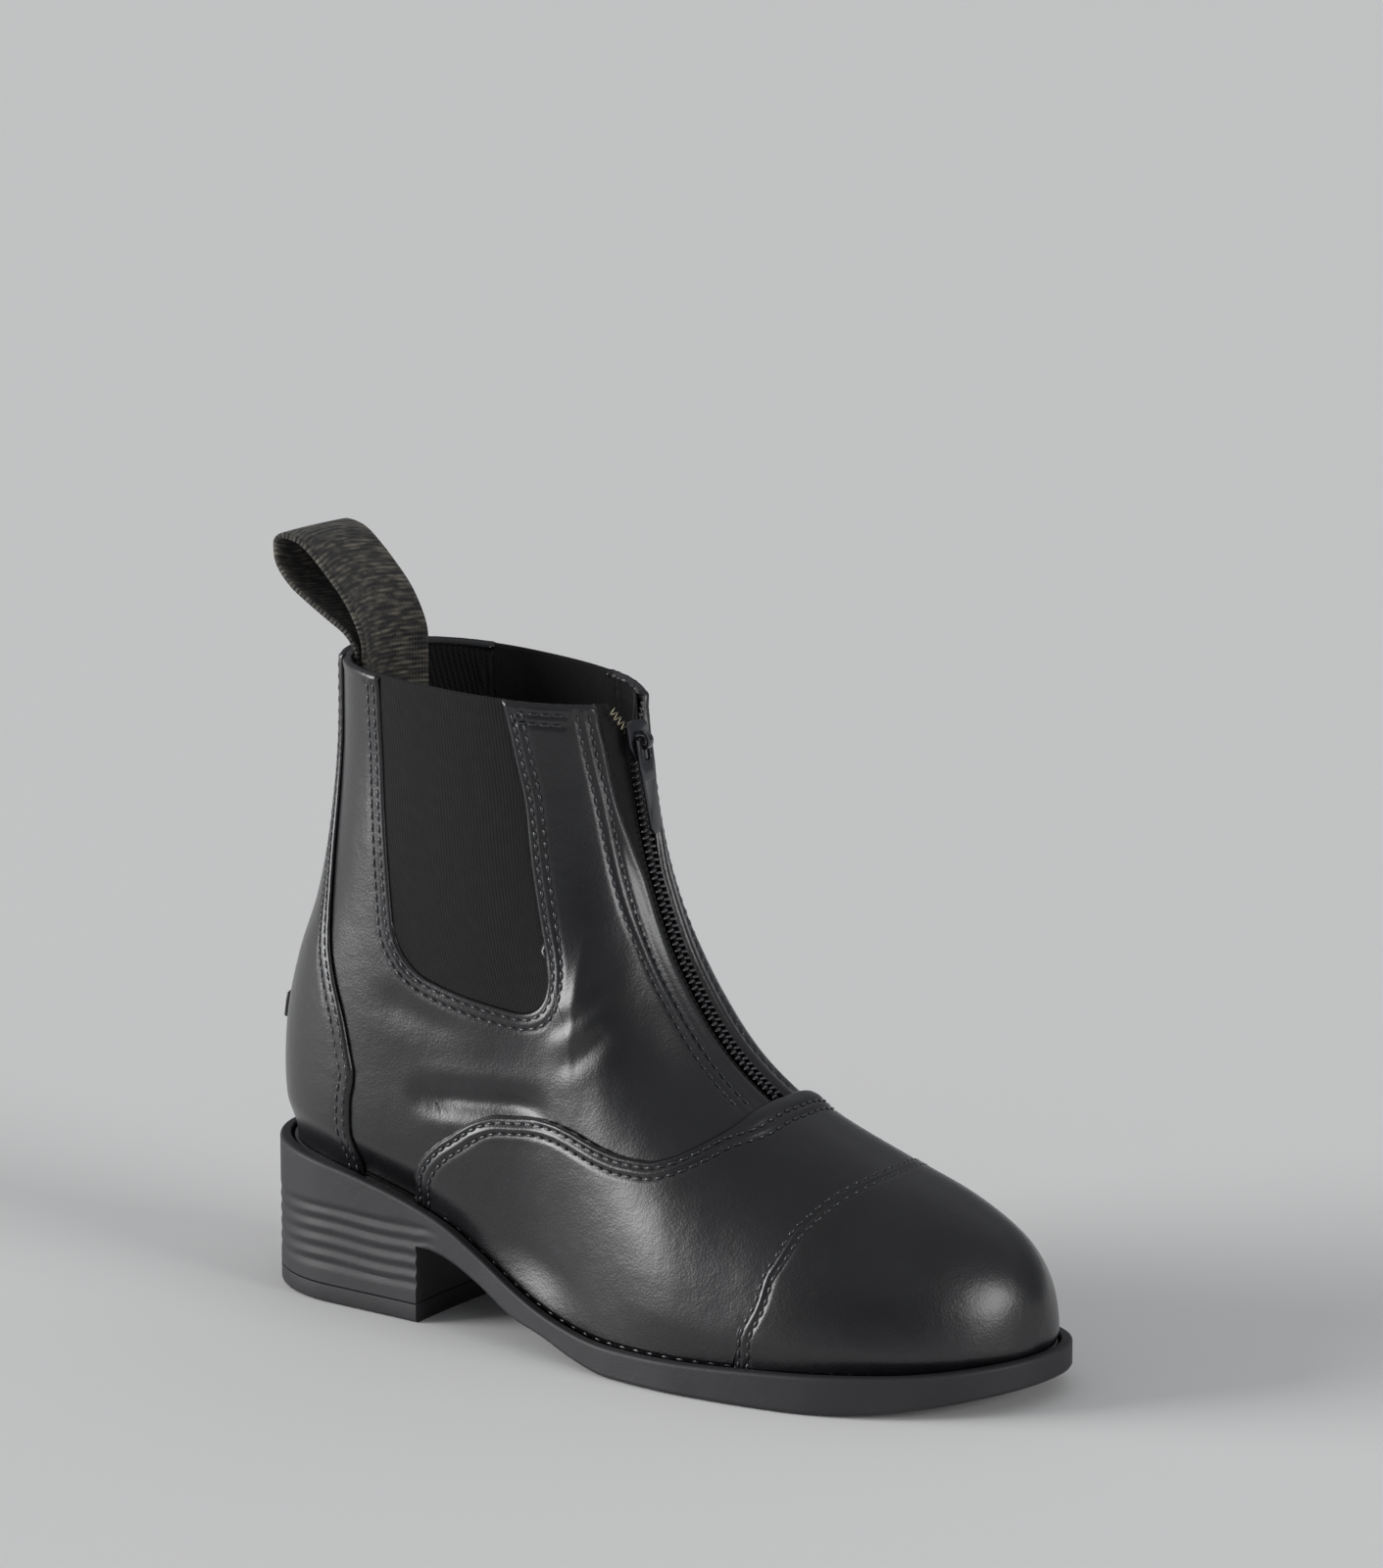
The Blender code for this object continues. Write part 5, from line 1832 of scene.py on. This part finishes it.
@dataclass
class Studio:
    """Pale floor, soft lights and the camera at the photograph's angle."""

    place: tuple[float, float, float] = (1.09638, -1.42807, 0.52606)
    tilt: float = 77.7
    turn: float = 35.0
    lens: float = 162.0
    floor_colour: str = "#f2f2f1"
    world_colour: str = "#eceef4"
    world_strength: float = 0.22

    def build(self) -> None:
        """Sets the camera, the floor and the lights."""
        scene = bpy.context.scene
        scene.view_settings.view_transform = "Standard"
        data = bpy.data.cameras.new("camera")
        data.lens, data.sensor_width = self.lens, 36.0
        camera = bpy.data.objects.new("camera", data)
        camera.location = self.place
        camera.rotation_euler = (math.radians(self.tilt), 0.0, math.radians(self.turn))
        scene.collection.objects.link(camera)
        scene.camera = camera
        self.floor()
        world = bpy.data.worlds.new("studio")
        world.use_nodes = True
        shade = world.node_tree.nodes["Background"]
        shade.inputs["Color"].default_value = linear(self.world_colour)
        shade.inputs["Strength"].default_value = self.world_strength
        scene.world = world
        self.light("key", (-0.78, -0.60, 0.19), 3.3, 38.0)
        self.light("overhead", (0.0, 0.0, 1.0), 0.32, 120.0)
        self.light("fill", (0.94, -0.05, 0.31), 1.15, 26.0)

    def floor(self) -> None:
        """Lays the pale floor."""
        bm = bmesh.new()
        bmesh.ops.create_grid(bm, x_segments=1, y_segments=1, size=20.0)
        mesh = bpy.data.meshes.new("floor")
        bm.to_mesh(mesh)
        bm.free()
        mesh.materials.append(Finish("pale_paper", self.floor_colour, 0.85).build())
        floor = bpy.data.objects.new("floor", mesh)
        bpy.context.scene.collection.objects.link(floor)

    def light(self, name: str, towards: tuple[float, float, float], strength: float, width: float) -> None:
        """Adds a wide soft light that falls evenly on boot and floor.

        Args:
            name: Name of the light.
            towards: Way from the boot to the light.
            strength: Its irradiance in watts per square metre.
            width: Angle in degrees that it fills, seen from the boot.
        """
        data = bpy.data.lights.new(name, "SUN")
        data.energy = strength
        data.angle = math.radians(width)
        lamp = bpy.data.objects.new(name, data)
        lamp.rotation_euler = Vector(towards).to_track_quat("Z", "Y").to_euler()
        bpy.context.scene.collection.objects.link(lamp)


CREASES = (
    (
        ((0.341, 0.212), (0.376, 0.233), (0.429, 0.278), (0.478, 0.308), (0.524, 0.323), (0.553, 0.322)),
        0.0019,
        0.0034,
    ),
    (
        ((0.583, 0.398), (0.628, 0.430), (0.680, 0.465), (0.722, 0.492), (0.755, 0.512), (0.830, 0.558)),
        0.0006,
        0.0026,
    ),
    (
        ((0.597, 0.465), (0.635, 0.487), (0.685, 0.512), (0.721, 0.530), (0.753, 0.550), (0.822, 0.580)),
        0.0004,
        0.0020,
    ),
    (((0.318, 0.392), (0.365, 0.400), (0.405, 0.413), (0.448, 0.417), (0.490, 0.420)), 0.0005, 0.0040),
    (((1.640, 0.230), (1.600, 0.270), (1.540, 0.305), (1.480, 0.322), (1.445, 0.320)), 0.0014, 0.0034),
    (((1.410, 0.400), (1.360, 0.440), (1.300, 0.480), (1.240, 0.515), (1.180, 0.550)), 0.0007, 0.0026),
    (((1.660, 0.400), (1.610, 0.412), (1.560, 0.420), (1.510, 0.424)), 0.0005, 0.0040),
)


def main() -> None:
    """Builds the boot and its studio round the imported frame."""
    logging.basicConfig(level=logging.INFO, format="%(name)s: %(message)s")
    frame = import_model()
    last = Last(creases=[Crease(places, depth, width) for places, depth, width in CREASES])
    bench = Bench(frame, last)
    for assembly in (
        Sole(bench),
        Quarters(bench),
        Overlays(bench),
        Gores(bench),
        Zip(bench),
        PullLoop(bench),
    ):
        assembly.build()
        LOG.info("%s done", type(assembly).__name__)
    Studio().build()


if __name__ == "__main__":
    main()
